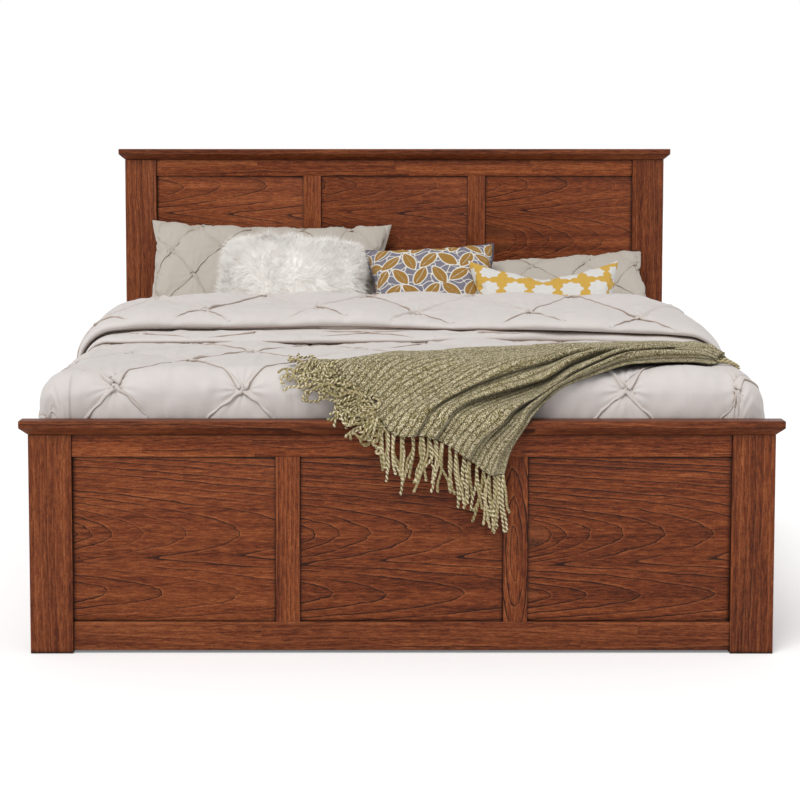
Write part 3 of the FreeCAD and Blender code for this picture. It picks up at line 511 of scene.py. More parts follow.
# %% [markdown]
# All bedding starts as a grid of points worked out with numpy. One helper turns such a grid into a mesh,
# with a UV map in metres, so that a weave keeps its size however the cloth bends. A second helper gives a
# sum of random waves, which is a smooth, repeatable unevenness.

# %% Grid helpers


def build_mesh(name, points, faces, finish, uv=None, **numbers):
    """Object from points (n by 3), a list of face arrays (each m by k corners), UV and number per point."""
    points = np.asarray(points, np.float32).reshape(-1, 3)
    corners = np.concatenate([f.ravel() for f in faces]).astype(np.int32)
    totals = np.concatenate([np.full(len(f), f.shape[1]) for f in faces]).astype(np.int32)
    mesh = bpy.data.meshes.new(name)
    mesh.vertices.add(len(points))
    mesh.vertices.foreach_set("co", points.ravel())
    mesh.loops.add(len(corners))
    mesh.loops.foreach_set("vertex_index", corners)
    mesh.polygons.add(len(totals))
    mesh.polygons.foreach_set("loop_start", np.concatenate([[0], np.cumsum(totals)[:-1]]).astype(np.int32))
    mesh.polygons.foreach_set("loop_total", totals)
    mesh.update(calc_edges=True)
    mesh.polygons.foreach_set("use_smooth", np.ones(len(totals), bool))
    if uv is not None:
        layer = mesh.uv_layers.new(name="cloth")
        layer.data.foreach_set("uv", np.asarray(uv, np.float32).reshape(-1, 2)[corners].ravel())
    for key, values in numbers.items():
        attribute = mesh.attributes.new(key, "FLOAT", "POINT")
        attribute.data.foreach_set("value", np.asarray(values, np.float32).ravel())
    mesh.materials.append(finish)
    piece = bpy.data.objects.new(name, mesh)
    scene.collection.objects.link(piece)
    return piece


def quads_of(number):
    """Corner numbers of the quads between neighbouring rows and columns of a grid of point numbers."""
    return np.stack([number[:-1, :-1], number[:-1, 1:], number[1:, 1:], number[1:, :-1]], -1).reshape(-1, 4)


def unit(vectors, least=0.0):
    """Vectors divided by their length, or by least where they are shorter than that."""
    return vectors / np.maximum(np.linalg.norm(vectors, axis=-1, keepdims=True), least)


def normals_of(points):
    """Unit normals of a grid: the cross product of its column and row directions."""
    return unit(np.cross(np.gradient(points, axis=1), np.gradient(points, axis=0)), 1e-12)


def waves(u, v, length, count=9, seed=1):
    """Smooth unevenness from about -1 to 1: a sum of sines in random directions near one wavelength."""
    luck = np.random.default_rng(seed)
    turn, phase = luck.uniform(0, 2 * np.pi, (2, count))
    size = length * luck.uniform(0.7, 1.6, count)
    total = sum(np.sin(2 * np.pi * (u * math.cos(t) + v * math.sin(t)) / s + f)
                for t, s, f in zip(turn, size, phase))
    return total / math.sqrt(count / 2) / 1.6


def smooth_step(low, high, value):
    """0 below low, 1 above high, with an even S between them."""
    share = np.clip((value - low) / (high - low), 0, 1)
    return share * share * (3 - 2 * share)


# %% [markdown]
# The mattress is mostly hidden, but its head end shows beside the pillows. It is a profile carried round a
# rounded rectangle: flat below, a taped edge, an upright border, a second taped edge, then a quilted top.

# %% Mattress


def weave_height(tree, place, threads, wobble=1.0):
    """Height of a plain weave: the higher of two sets of threads, one along each UV direction."""
    warp, weft = (node(tree, "ShaderNodeTexWave", [place, threads, wobble, 1.0], out=1, bands_direction=axis)
                  for axis in "XY")
    return math_node(tree, "MAXIMUM", warp, weft)


def shaded(colour, red, green, blue):
    """Colour with each of its parts times its own factor."""
    return (colour[0] * red, colour[1] * green, colour[2] * blue, 1)


def cotton_finish(name, colour):
    """Plain woven cotton: cloudy unevenness and slubs, a soft sheen, and a painted warm shade deep in folds
    and where the mesh's number called tuck is high, under tuck flaps and on the undersides of knot buds."""
    material, tree = new_finish(name)
    place = node(tree, "ShaderNodeTexCoord", out=2)
    cloud = noise(tree, place, 9.0, 4.0, 0.6)
    slub = noise(tree, scaled(tree, place, (18, 260, 1)), 1.0)
    # darker is the cloth's own unevenness; shade is a painted shade colour, darker and warmer, for folds and
    # tucks.
    darker, shade = shaded(colour, 0.86, 0.86, 0.86), shaded(colour, 0.62, 0.50, 0.40)
    mixed = mix_colour(tree, cloud, darker, colour)
    mixed = mix_colour(tree, math_node(tree, "MULTIPLY", slub, 0.06), mixed, darker)
    # Painted shade deep in folds and creases.
    mixed = mix_colour(tree, painted_shade_share(tree, 0.016, (0.30, 0.60), (0.74, 0.0)), mixed, shade)
    tuck = node(tree, "ShaderNodeAttribute", attribute_name="tuck", out=2)
    # Painted shade under tuck flaps and on bud undersides, by the tuck number.
    mixed = mix_colour(tree, math_node(tree, "MULTIPLY", tuck, 0.6), mixed, shade)
    height = math_node(tree, "MULTIPLY", slub, 0.5)
    height = math_node(tree, "MULTIPLY_ADD", weave_height(tree, place, 420.0, 1.5), 0.3, height)
    rough = math_node(tree, "MULTIPLY_ADD", cloud, 0.12, 0.72)
    surface(tree, mixed, rough, height, 0.0003, Specular_IOR_Level=0.2, Sheen_Weight=0.15,
            Sheen_Roughness=0.5)
    return material


def rounded_outline(count, power=0.25):
    """Directions round a square with round corners: the cosine and the sine of each angle, raised to a small
    power with their signs kept."""
    turn = np.linspace(0, 2 * np.pi, count, endpoint=False)
    c, s = np.cos(turn), np.sin(turn)
    return np.sign(c) * np.abs(c) ** power, np.sign(s) * np.abs(s) ** power


low, high = (np.array(corner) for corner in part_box("mattress"))
middle, half = (low + high) / 2, (high - low) / 2
ring_count, top_rings, quilt_depth = 360, 40, 0.004
inset = np.array([0.965, 0.7, 0.4, 0.1, 0.03, 0.012, 0.004, 0.0, 0.006, 0.008, 0.004, 0.002, 0.001, 0.002,
                  0.004, 0.008, 0.006, 0.0, 0.004, 0.012, 0.03, 0.06, 0.1,
                  *np.linspace(0.14, 0.965, top_rings)])
rise = np.array([0, 0, 0, 0, 0.001, 0.003, 0.008, 0.016, 0.023, 0.03, 0.05, 0.09, 0.1475, 0.2, 0.245,
                 0.265, 0.272, 0.279, 0.287, 0.291, 0.293, 0.294, 0.2945, *[0.295] * top_rings])
share_x, share_y = rounded_outline(ring_count)
ring_x = share_x[None] * (half[0] - inset)[:, None]
ring_y = share_y[None] * (half[1] - inset)[:, None]
quilt = quilt_depth * np.abs(np.sin(ring_x * 14) * np.sin(ring_y * 14)) ** 0.5 - quilt_depth
top_share = smooth_step(0.03, 0.10, inset)[:, None] * (rise > 0.2)[:, None]
shape = np.stack([middle[0] + ring_x, middle[1] + ring_y,
                  low[2] + rise[:, None] * np.ones(ring_count) + quilt * top_share], -1)
number = np.arange(shape.shape[0] * ring_count).reshape(-1, ring_count)
number = np.hstack([number, number[:, :1]])
ticking = cotton_finish("mattress_ticking", from_screen(226, 224, 220))
mattress = build_mesh("mattress_ticked", shape, [quads_of(number)], ticking,
                      uv=shape[..., :2] + shape[..., 2:] * [[0.3, 1]])
bare = bmesh.new()
bare.from_mesh(mattress.data)
bmesh.ops.remove_doubles(bare, verts=bare.verts, dist=1e-4)
bmesh.ops.recalc_face_normals(bare, faces=bare.faces)
bare.to_mesh(mattress.data)
bare.free()
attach(mattress, "bed")
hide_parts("mattress")
print("mattress:", len(mattress.data.polygons), "faces")

# %% [markdown]
# The duvet is pinched into knots in a diamond pattern, and a narrow tuck runs from each knot to its four
# neighbours. In slanted coordinates the knots sit on whole numbers, so the tucks follow the lines where one
# of the two coordinates is whole. The grid itself carries only the soft part, the puffs and the dips. A tuck
# is a sharp little folded flap, far finer than the grid, so each is a closed strip laid along its line, and
# each knot is a small gathered bud.

# %% Puffs between the knots


def lucky(a, b):
    """A repeatable number from 0 to 1 for each pair of whole numbers."""
    value = np.sin(a * 12.9898 + b * 78.233) * 43758.5453
    return value - np.floor(value)


def stray(i, j, seed):
    """How far the pattern strays from an even lattice, in steps of it."""
    return 0.06 * waves(i, j, 2.4, seed=seed), 0.06 * waves(i, j, 2.4, seed=seed + 1)


def pleat_height(i, j, half_x, half_y, seed):
    """Height of pinched cloth where knots sit at whole i and j with an even sum, half_x and half_y metres
    apart. With s = (i + j) / 2 and t = (i - j) / 2, it is the puff, a power of the sines of both, less a dip
    round each knot, plus small gathers that run out from the knot."""
    puff, gather, dip = 0.0115, 0.0026, 0.006
    stray_i, stray_j = stray(i, j, seed)
    i, j = i + stray_i, j + stray_j
    s, t = (i + j) / 2, (i - j) / 2
    whole_s, whole_t = np.round(s), np.round(t)
    step = math.hypot(half_x, half_y)
    radius = np.hypot((s - whole_s) + (t - whole_t), (s - whole_s) - (t - whole_t)) * 0.7 * step
    height = puff * np.abs(np.sin(np.pi * s) * np.sin(np.pi * t)) ** 0.72
    turn = np.arctan2(t - whole_t, s - whole_s)
    gathers = np.cos(13 * turn + 6.28 * lucky(whole_s, whole_t)) * np.exp(-(radius / 0.065) ** 2)
    height = height + gather * gathers * (1 - np.exp(-(radius / 0.016) ** 2))
    return height - dip * np.exp(-(radius / 0.035) ** 2)


def on_lattice(i, j, seed):
    """Even lattice coordinates of a point of the straying lattice, found in two steps."""
    even_i, even_j = i, j
    for _ in range(2):
        stray_i, stray_j = stray(even_i, even_j, seed)
        even_i, even_j = i - stray_i, j - stray_j
    return even_i, even_j


def between(grid, column, row):
    """Values of a grid between its points, weighted by the distances to the four points round each place."""
    c = np.clip(np.floor(column), 0, grid.shape[1] - 2).astype(int)
    r = np.clip(np.floor(row), 0, grid.shape[0] - 2).astype(int)
    x, y = (column - c)[..., None], (row - r)[..., None]
    return ((1 - y) * ((1 - x) * grid[r, c] + x * grid[r, c + 1])
            + y * ((1 - x) * grid[r + 1, c] + x * grid[r + 1, c + 1]))


def touch(points, normals, column, row):
    """Place and unit normal of a surface grid between its points."""
    return between(points, column, row), unit(between(normals, column, row))


# %% Tucks and knots
# The tuck profile's third column and the bud ring and pole values are painted shade: darkest under a tuck's
# flap and on a bud's underside.
tuck_profile = np.array([(-1.9, -0.35, 0.0), (-1.0, 0.16, 0.10), (-0.35, 0.70, 0.30), (0.2, 1.0, 0.12),
                         (0.66, 0.92, 0.34), (0.86, 0.58, 0.90), (0.62, 0.15, 1.0), (0.5, -0.35, 1.0)])
tuck_corners, tuck_steps = len(tuck_profile), 31
bud_sides, bud_shades = 12, np.array([0.1, 0.25, 0.5, 0.8, 1.0])
bud_rings, bud_poles = len(bud_shades), (0.05, 1.0)
bud_points = bud_rings * bud_sides + 2


def tuck_strips(place, normal, fade, tall, wide, seed):
    """Folded tucks along lines (count by steps by 3). The profile's columns are across, up and painted shade:
    it rises, tips over to one side and returns under itself, where the painted shade is darkest. It is tall
    and wide at both knots and slighter half-way, and fade tells which ends run out flat. The last value is the
    painted shade of each point."""
    luck = np.random.default_rng(seed)
    count, steps = place.shape[:2]
    across, up, dark = tuck_profile.T
    flip = np.where(luck.uniform(size=count) > 0.5, 1.0, -1.0)
    side = np.cross(normal, unit(np.gradient(place, axis=1))) * flip[:, None, None]
    t = np.linspace(0, 1, steps)
    near = np.abs(2 * t - 1)
    phase = luck.uniform(0, 6.28, (3, count, 1))
    sway = (0.0024 * np.sin(7 * t + phase[0]) + 0.0011 * np.sin(19 * t + phase[1])) * (1 - near ** 4)
    lively = 1 + 0.22 * np.sin(12 * t + phase[2]) * (1 - near ** 2)
    runs_out = 1 - fade[:, :1] * (1 - smooth_step(0, 0.35, t)) - fade[:, 1:] * smooth_step(0.65, 1, t)
    height = tall * luck.uniform(0.7, 1.25, (count, 1)) * (0.44 + 0.56 * near ** 2) * lively
    height = (height * (0.02 + 0.98 * runs_out))[..., None]
    width = wide * luck.uniform(0.7, 1.35, (count, 1)) * (0.46 + 0.9 * near ** 3) * lively
    width = (width * (0.3 + 0.7 * runs_out))[..., None]
    points = ((place + side * sway[..., None])[:, :, None] + side[:, :, None] * (width * across)[..., None]
              + normal[:, :, None] * (height * up)[..., None])
    number = np.arange(count * steps * tuck_corners).reshape(count, steps, tuck_corners)
    ring = np.concatenate([number, number[:, :, :1]], 2)
    quads = np.stack([ring[:, :-1, :-1], ring[:, 1:, :-1], ring[:, 1:, 1:], ring[:, :-1, 1:]], -1)
    quads, caps = quads.reshape(count, -1, 4), np.stack([number[:, 0], number[:, -1, ::-1]], 1)
    turned = flip < 0
    quads[turned], caps[turned] = quads[turned][..., ::-1], caps[turned][..., ::-1]
    shade = dark * runs_out[..., None]
    return points.reshape(-1, 3), [quads.reshape(-1, 4), caps.reshape(-1, tuck_corners)], shade.ravel()


def knot_buds(place, normal, size, seed):
    """Gathered buds: squashed balls of a few rings and two poles, their sides pulled into lobes by the
    cosines of four and of three times the angle."""
    luck = np.random.default_rng(seed)
    count, top_pole = len(place), bud_rings * bud_sides
    side = unit(np.cross(normal, luck.normal(size=(count, 3))))
    other = np.cross(normal, side)
    down, around = np.meshgrid(np.linspace(0, np.pi, bud_rings + 2)[1:-1],
                               np.arange(bud_sides) * 2 * np.pi / bud_sides, indexing="ij")
    scale = size * luck.uniform(0.8, 1.2, (count, 1, 1))
    lobes = 1 + 0.40 * np.cos(4 * around + luck.uniform(0, 6.28, (count, 1, 1)) + 1.6 * down)
    lobes = lobes + 0.25 * np.cos(3 * around + luck.uniform(0, 6.28, (count, 1, 1)))
    out, up = scale * np.sin(down) * lobes, scale * (0.25 + 0.7 * np.cos(down) * (0.7 + 0.3 * lobes))
    rings = (place[:, None, None] + side[:, None, None] * (out * 1.35 * np.cos(around))[..., None]
             + other[:, None, None] * (out * np.sin(around))[..., None]
             + normal[:, None, None] * up[..., None])
    poles = place[:, None] + normal[:, None] * (scale[:, 0] * np.array([1.05, -0.55]))[..., None]
    points = np.concatenate([rings.reshape(count, top_pole, 3), poles], 1)
    ring = np.arange(top_pole).reshape(bud_rings, bud_sides)
    ring = np.hstack([ring, ring[:, :1]])
    top = np.stack([ring[0, :-1], ring[0, 1:], np.full(bud_sides, top_pole)], -1)
    bottom = np.stack([ring[-1, 1:], ring[-1, :-1], np.full(bud_sides, top_pole + 1)], -1)
    start = (np.arange(count) * bud_points)[:, None, None]
    return points.reshape(-1, 3), [(start + quads_of(ring)[:, ::-1]).reshape(-1, 4),
                                   (start + np.concatenate([top, bottom])).reshape(-1, 3)]


def pinched_details(surface_of, columns, rows, reach, tall, wide, size, seed):
    """Strips and buds for a lattice: knots are the pairs of columns and rows with an even sum; surface_of
    gives place, normal and cloth coordinates for lattice pairs; reach says which pairs lie on the cloth."""
    knots = np.array([(i, j) for i in columns for j in rows if (i + j) % 2 == 0])
    starts = np.concatenate([knots, knots])[:, None]
    stops = np.concatenate([knots + [1, 1], knots + [1, -1]])[:, None]
    trial = np.linspace(0, 1, 81)
    inside = reach(*np.moveaxis(starts + (stops - starts) * trial[:, None], -1, 0))
    begin, end = np.where(inside, trial, 2).min(1), np.where(inside, trial, -2).max(1)
    long_enough = end - begin > 0.15
    t = (begin[:, None] + (end - begin)[:, None] * np.linspace(0.03, 0.97, tuck_steps))[..., None]
    lines = (starts + (stops - starts) * t)[long_enough]
    knots = knots[reach(knots[:, 0], knots[:, 1])]
    place, normal, cloth = surface_of(lines[..., 0], lines[..., 1])
    fade = np.stack([begin > 0.01, end < 0.99], -1)[long_enough].astype(float)
    strips, strip_faces, shade = tuck_strips(place, normal, fade, tall, wide, seed)
    bud_place, bud_normal, bud_cloth = surface_of(knots[:, 0], knots[:, 1])
    buds, bud_faces = knot_buds(bud_place, bud_normal, size, seed + 1)
    uv = np.concatenate([np.repeat(cloth.reshape(-1, 2), tuck_corners, 0) + strips[:, :2] * 0.2,
                         np.repeat(bud_cloth, bud_points, 0) + buds[:, :2]])
    # Painted shade of each bud, ring by ring: darker towards its underside.
    bud_shade = np.tile(np.append(np.repeat(bud_shades, bud_sides), bud_poles), len(knots))
    return (np.concatenate([strips, buds]), strip_faces + [f + len(strips) for f in bud_faces], uv,
            np.concatenate([shade, bud_shade]))


# %% Padded sheet


def shell_of(points, thickness, step, rim):
    """Closed padded sheet from its outer grid: an inner grid of every step-th point lies one thickness
    inside, both lips curl together over rim metres, and faces of many corners join the fine lip to the
    coarse one."""
    lip = 0.42
    rows, columns = points.shape[:2]
    normal = normals_of(points)
    run = np.linalg.norm(np.diff(points, axis=1), axis=-1)
    across = np.concatenate([np.zeros((rows, 1)), np.cumsum(run, axis=1)], axis=1)
    run = np.linalg.norm(np.diff(points, axis=0), axis=-1)
    along = np.concatenate([np.zeros((1, columns)), np.cumsum(run, axis=0)], axis=0)
    edge = np.minimum(np.minimum(across, across[:, -1:] - across), np.minimum(along, along[-1:] - along))
    curl = 1 - np.sqrt(1 - np.clip(1 - edge / rim, 0, 1) ** 2)
    outer = points - normal * (lip * thickness * curl)[..., None]
    rows_kept = np.unique(np.append(np.arange(0, rows, step), rows - 1))
    columns_kept = np.unique(np.append(np.arange(0, columns, step), columns - 1))
    pick = np.ix_(rows_kept, columns_kept)
    inner = points[pick] - normal[pick] * (thickness * (1 - lip * curl[pick]))[..., None]
    fine = np.arange(rows * columns).reshape(rows, columns)
    coarse = rows * columns + np.arange(inner.shape[0] * inner.shape[1]).reshape(inner.shape[:2])
    faces = [quads_of(fine), quads_of(coarse)[:, ::-1]]
    rims = ((fine[0], coarse[0], columns_kept),
            (fine[-1, ::-1], coarse[-1, ::-1], (columns - 1 - columns_kept)[::-1]),
            (fine[::-1, 0], coarse[::-1, 0], (rows - 1 - rows_kept)[::-1]),
            (fine[:, -1], coarse[:, -1], rows_kept))
    for fine_line, coarse_line, kept in rims:
        for k, (a, b) in enumerate(zip(kept[:-1], kept[1:])):
            faces.append(np.concatenate([fine_line[a:b + 1][::-1], coarse_line[k:k + 2]])[None])
    return np.concatenate([outer.reshape(-1, 3), inner.reshape(-1, 3)]), faces, pick


# %% Duvet over the mattress
low, high = (np.array(corner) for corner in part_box("duvet"))
duvet_half, duvet_foot, duvet_hem = high[0] - 0.030, low[1], low[2]
duvet_top, duvet_crown = 0.777, 0.014
side_round, foot_round = 0.095, 0.070
side_run = side_round * math.pi / 2 + duvet_top - side_round - duvet_hem
foot_run = foot_round * math.pi / 2 + 0.095
side_edge, foot_edge = duvet_half - side_round, duvet_foot + foot_round


def drape(p, q):
    """Cloth laid over the mattress: p runs across the bed and q along it, measured on the cloth. On top it is
    flat with a slight crown; past an edge it turns through a quarter circle and hangs, flaring a little clear
    of the side rail; past a corner it turns from the side to the foot, in step with how far it overhangs each
    of them."""
    over_side = np.clip(np.abs(p) - side_edge, 0, None) / side_run
    over_foot = np.clip(foot_edge - q, 0, None) / foot_run
    most = np.maximum(over_side, over_foot)
    share = np.where(over_side >= over_foot, 0.5 * over_foot / np.maximum(over_side, 1e-9),
                     1 - 0.5 * over_side / np.maximum(over_foot, 1e-9))
    run = most * (side_run * (1 - share) + foot_run * share)
    radius = side_round * (1 - share) + foot_round * share
    bend = np.minimum(run / radius, math.pi / 2)
    out = radius * np.sin(bend)
    down = radius * (1 - np.cos(bend)) + np.clip(run - radius * math.pi / 2, 0, None)
    flare = 0.020 * smooth_step(0.15, 0.29, down)
    x = np.sign(p) * (np.minimum(np.abs(p), side_edge) + (out + flare) * np.cos(share * math.pi / 2))
    y = np.maximum(q, foot_edge) - out * np.sin(share * math.pi / 2)
    z = duvet_top + duvet_crown * (1 - (x / duvet_half) ** 2) - down
    return np.stack([x, y, z], -1)


fold_front = -0.175
knot_half, knot_start, duvet_seed = 0.176, -0.795, 3
tuck_tall, tuck_wide, bud_size = 0.0100, 0.0085, 0.0085
knot_rows = np.array([foot_edge - 0.27, foot_edge - 0.085, -0.715, -0.50, -0.30, -0.10, 0.10, 0.30, 0.5, 0.7])
knot_steps = np.arange(-1, len(knot_rows) - 1)
across = np.linspace(-side_edge - side_run, side_edge + side_run, 641)
along = np.concatenate([np.arange(foot_edge - foot_run, fold_front + 0.06, 0.0043),
                        np.linspace(fold_front + 0.07, 0.40, 24)])
p, q = np.meshgrid(across, along)
flat_duvet = drape(p, q)
puff = pleat_height((p - knot_start) / knot_half, np.interp(q, knot_rows, knot_steps), knot_half, 0.2,
                    duvet_seed)
puff = puff + 0.0012 * waves(p, q * 0.5, 0.045, 16, 5) + 0.004 * waves(p, q, 0.5, 8, 6) - 0.006
for pressed in (-0.655, -0.30, 0.045, 0.79):
    puff = puff - 0.0014 * np.exp(-((p - pressed - 0.004 * np.sin(q * 9)) / 0.0035) ** 2)
hang = smooth_step(0, 0.25, np.abs(p) - side_edge)
sway = hang * (0.004 + 0.005 * np.sin(q * 21 + 1.5 * np.sin(q * 5)) + 0.002 * waves(q, p, 0.2, 7, 8))
hidden_share = 1 - smooth_step(fold_front + 0.04, fold_front + 0.12, q)
swell = (puff * (1 - 0.35 * hang) + sway) * hidden_share - 0.02 * (1 - hidden_share)
body = flat_duvet + normals_of(flat_duvet) * swell[..., None]
body_normal = normals_of(body)
points, faces, kept = shell_of(body, 0.016, 8, 0.016)
uv = np.stack([p, q], -1)


def duvet_surface(i, j):
    """Place, normal and cloth coordinates of the duvet at lattice coordinates."""
    i, j = on_lattice(i, j, duvet_seed)
    across_at, along_at = i * knot_half + knot_start, np.interp(j, knot_steps, knot_rows)
    column = np.interp(across_at, across, np.arange(len(across)))
    row = np.interp(along_at, along, np.arange(len(along)))
    return (*touch(body, body_normal, column, row), np.stack([across_at, along_at], -1))


def on_duvet(i, j):
    """True on the duvet, away from its hems and from the part under the fold."""
    return (np.abs(i * knot_half + knot_start) < across[-1] - 0.03) & (j > -0.58) & (j < 4.15)


extra_points, extra_faces, extra_uv, extra_shade = pinched_details(
    duvet_surface, range(-5, 16), range(-2, 6), on_duvet, tuck_tall, tuck_wide, bud_size, 33)
faces = faces + [f + len(points) for f in extra_faces]
duvet_cotton = cotton_finish("duvet_cotton", from_screen(224, 217, 213))
duvet = build_mesh("duvet_pleated", np.concatenate([points, extra_points]), faces, duvet_cotton,
                   uv=np.concatenate([uv.reshape(-1, 2), uv[kept].reshape(-1, 2), extra_uv]),
                   tuck=np.concatenate([np.zeros(len(points)), extra_shade]))
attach(duvet, "bed")
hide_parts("duvet")
print("duvet:", len(duvet.data.polygons), "faces, lowest", round(float(points[:, 2].min()), 3))

# %% [markdown]
# Near the head the duvet is folded back over itself. The fold is a closed profile carried across the bed
# and down both sides: at the front a thin lower layer, a deep narrow slit and a thick upper layer, and at the
# back a roll. One mesh for both layers keeps them from cutting through each other. The upper side is pinched
# as the duvet is, and a few smaller tucks lie on the shelf that the lower layer leaves free.

# %% Fold profile


def smooth_loop(corners, count):
    """Closed smooth curve near its corner points: corners are cut three times over, then evenly spaced."""
    loop = np.array(corners, float)
    for _ in range(3):
        following = np.roll(loop, -1, axis=0)
        loop = np.stack([0.75 * loop + 0.25 * following, 0.25 * loop + 0.75 * following], 1).reshape(-1, 2)
    closed = np.vstack([loop, loop[:1]])
    length = np.concatenate([[0], np.cumsum(np.linalg.norm(np.diff(closed, axis=0), axis=1))])
    even = np.linspace(0, length[-1], count, endpoint=False)
    return np.stack([np.interp(even, length, closed[:, k]) for k in (0, 1)], -1), even


profile, profile_run = smooth_loop(
    [(0.40, -0.012), (0.10, -0.012), (-0.12, -0.012), (-0.172, -0.012), (-0.198, -0.006), (-0.201, 0.010),
     (-0.186, 0.019), (-0.165, 0.022), (-0.135, 0.023), (-0.135, 0.026), (-0.190, 0.029), (-0.201, 0.044),
     (-0.178, 0.062), (-0.120, 0.075), (0.02, 0.084), (0.20, 0.092), (0.34, 0.102), (0.425, 0.096),
     (0.462, 0.064), (0.464, 0.020), (0.440, -0.010)], 290)
print("fold profile:", len(profile), "points round", round(float(profile_run[-1]), 3), "m")

# %% Duvet fold
fold_start, fold_seed, shelf_start = -0.628, 21, -0.45
fold_across = np.linspace(-side_edge - side_run + 0.02, side_edge + side_run - 0.02, 601)
p, loop_run = np.meshgrid(fold_across, profile_run)
loop_y = np.repeat(profile[:, :1], len(fold_across), 1)
loop_h = np.repeat(profile[:, 1:], len(fold_across), 1)
base = drape(p, np.full_like(p, 0.2))
side_bend = np.clip((np.abs(p) - side_edge) / side_round, 0, math.pi / 2)
upward = np.stack([np.sign(p) * np.sin(side_bend), np.zeros_like(p), np.cos(side_bend)], -1)
drop_share = smooth_step(-0.10, 0.22, np.abs(p) - side_edge)
upper_layer, top_side = smooth_step(0.0240, 0.0290, loop_h), smooth_step(0.030, 0.050, loop_h)
level, from_middle = np.zeros_like(p), np.clip(p / side_edge, -1, 1)
ripple = ((1 - upper_layer) * 0.013 * waves(p, level, 0.8, 8, 15)
          + upper_layer * 0.015 * waves(p, level, 0.55, 8, 12))
ripple = ripple + 0.008 * np.sin(p * 4.2 + 0.6) - 0.065 * from_middle
front = smooth_step(0.25, -0.18, loop_y)
lower_skin = (1 - upper_layer) * smooth_step(0.0, 0.012, loop_h)
reach = 1 + 1.7 * smooth_step(0.55, -0.15, p) * (1 - drop_share) + 0.25 * waves(p, level, 0.5, 7, 19)
loop_y = loop_y + (1 - upper_layer) * np.minimum(loop_y + 0.12, 0) * (reach - 1)
fuller = 0.12 * waves(p, level, 0.6, 7, 17) - 0.12 * from_middle
loop_h = loop_h * (1 + upper_layer * front * fuller)
fold_points = base + upward * (loop_h * (1 - 0.72 * drop_share) + 0.003)[..., None]
fold_points[..., 1] = loop_y + ripple * front
fold_rows, fold_steps = [-0.36, -0.03, 0.35, 0.72], [-1, 0, 1, 2]
fold_puff = pleat_height((p - fold_start) / knot_half, np.interp(loop_y, fold_rows, fold_steps),
                         knot_half, 0.25, fold_seed)
fold_puff = (fold_puff - 0.004 + 0.0012 * waves(p, loop_y, 0.06, 12, 9)) * top_side
lower_puff = 0.002 * waves(p, loop_y, 0.16, 9, 14) * lower_skin
closed = np.concatenate([fold_points, fold_points[:1]])
fold_normal = normals_of(np.concatenate([fold_points[-1:], closed]))[1:-1]
fold_points = fold_points + fold_normal * ((fold_puff + lower_puff) * (1 - 0.5 * drop_share))[..., None]
number = np.arange(p.size).reshape(p.shape)
wrapped = np.vstack([number, number[:1]])
ends = [number[::-1, 0][None], number[:, -1][None]]
upper_rows = np.arange(int(profile[:, 0].argmin()), len(profile))
upper_rows = upper_rows[(profile[upper_rows, 1] > 0.034) & (profile[upper_rows, 0] < 0.455)]
on_top = upper_rows[profile[upper_rows, 0] > -0.13]
row_anchors = np.concatenate([upper_rows[:1] + 2.0,
                              np.interp([-0.13, -0.03, 0.35, 0.72], profile[on_top, 0], on_top)])
step_anchors = [-0.62, -0.30, 0.0, 1.0, 2.0]
fold_normal = normals_of(np.concatenate([fold_points[-1:], fold_points, fold_points[:1]]))[1:-1]


def fold_surface(i, j):
    """Place, normal and cloth coordinates of the fold's upper side at lattice coordinates."""
    i, j = on_lattice(i, j, fold_seed)
    across_at, y = i * knot_half + fold_start, np.interp(j, fold_steps, fold_rows)
    column = np.interp(across_at, fold_across, np.arange(len(fold_across)))
    row = np.interp(j, step_anchors, row_anchors)
    return (*touch(fold_points, fold_normal, column, row), np.stack([across_at, y], -1))


def on_fold(i, j):
    """True on the fold's upper side."""
    return (np.abs(i * knot_half + fold_start) < fold_across[-1] - 0.03) & (j > -0.60) & (j < 1.22)


extra_points, extra_faces, extra_uv, extra_shade = pinched_details(
    fold_surface, range(-6, 15), range(-2, 4), on_fold, tuck_tall, tuck_wide, bud_size, 35)
shelf = np.flatnonzero((profile[:, 1] > 0.012) & (profile[:, 1] < 0.0235) & (profile[:, 0] < -0.14))


def shelf_surface(i, j):
    """Place, normal and cloth coordinates of the lower layer's shelf: j runs from its front, at -1, to the
    slit, at 1."""
    across_at, row = i * knot_half + shelf_start, np.interp(j, [-1, 1], [shelf[0], shelf[-1]])
    column = np.interp(across_at, fold_across, np.arange(len(fold_across)))
    return (*touch(fold_points, fold_normal, column, row), np.stack([across_at, 0.05 * j], -1))


def on_shelf(i, j):
    """True on the lower layer's shelf, where it shows."""
    across_at = i * knot_half + shelf_start
    return (np.abs(j) < 0.86) & (across_at > -0.86) & (across_at < 0.45)


shelf_points, shelf_faces, shelf_uv, shelf_shade = pinched_details(
    shelf_surface, range(-4, 8), range(-1, 2), on_shelf, 0.0080, 0.0075, 0.0075, 37)
extra_faces = extra_faces + [f + len(extra_points) for f in shelf_faces]
extra_points, extra_uv = np.concatenate([extra_points, shelf_points]), np.concatenate([extra_uv, shelf_uv])
faces = [quads_of(wrapped), *ends, *(f + p.size for f in extra_faces)]
fold = build_mesh("duvet_fold", np.concatenate([fold_points.reshape(-1, 3), extra_points]), faces,
                  duvet_cotton, uv=np.concatenate([np.stack([p, loop_run], -1).reshape(-1, 2), extra_uv]),
                  tuck=np.concatenate([np.zeros(p.size), extra_shade, shelf_shade]))
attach(fold, "bed")
print("fold:", len(fold.data.polygons), "faces, top", round(float(fold_points[..., 2].max()), 3))

# %% [markdown]
# A pillow is two flat sheets sewn along their edges and filled. That is how it is made here: two grids
# share their border, Blender's cloth is blown up by a little pressure with gravity off, and the seams draw
# in by themselves. The result is scaled to the CAD pillow's size and leaned back to where it stands.

# %% Pillow maker


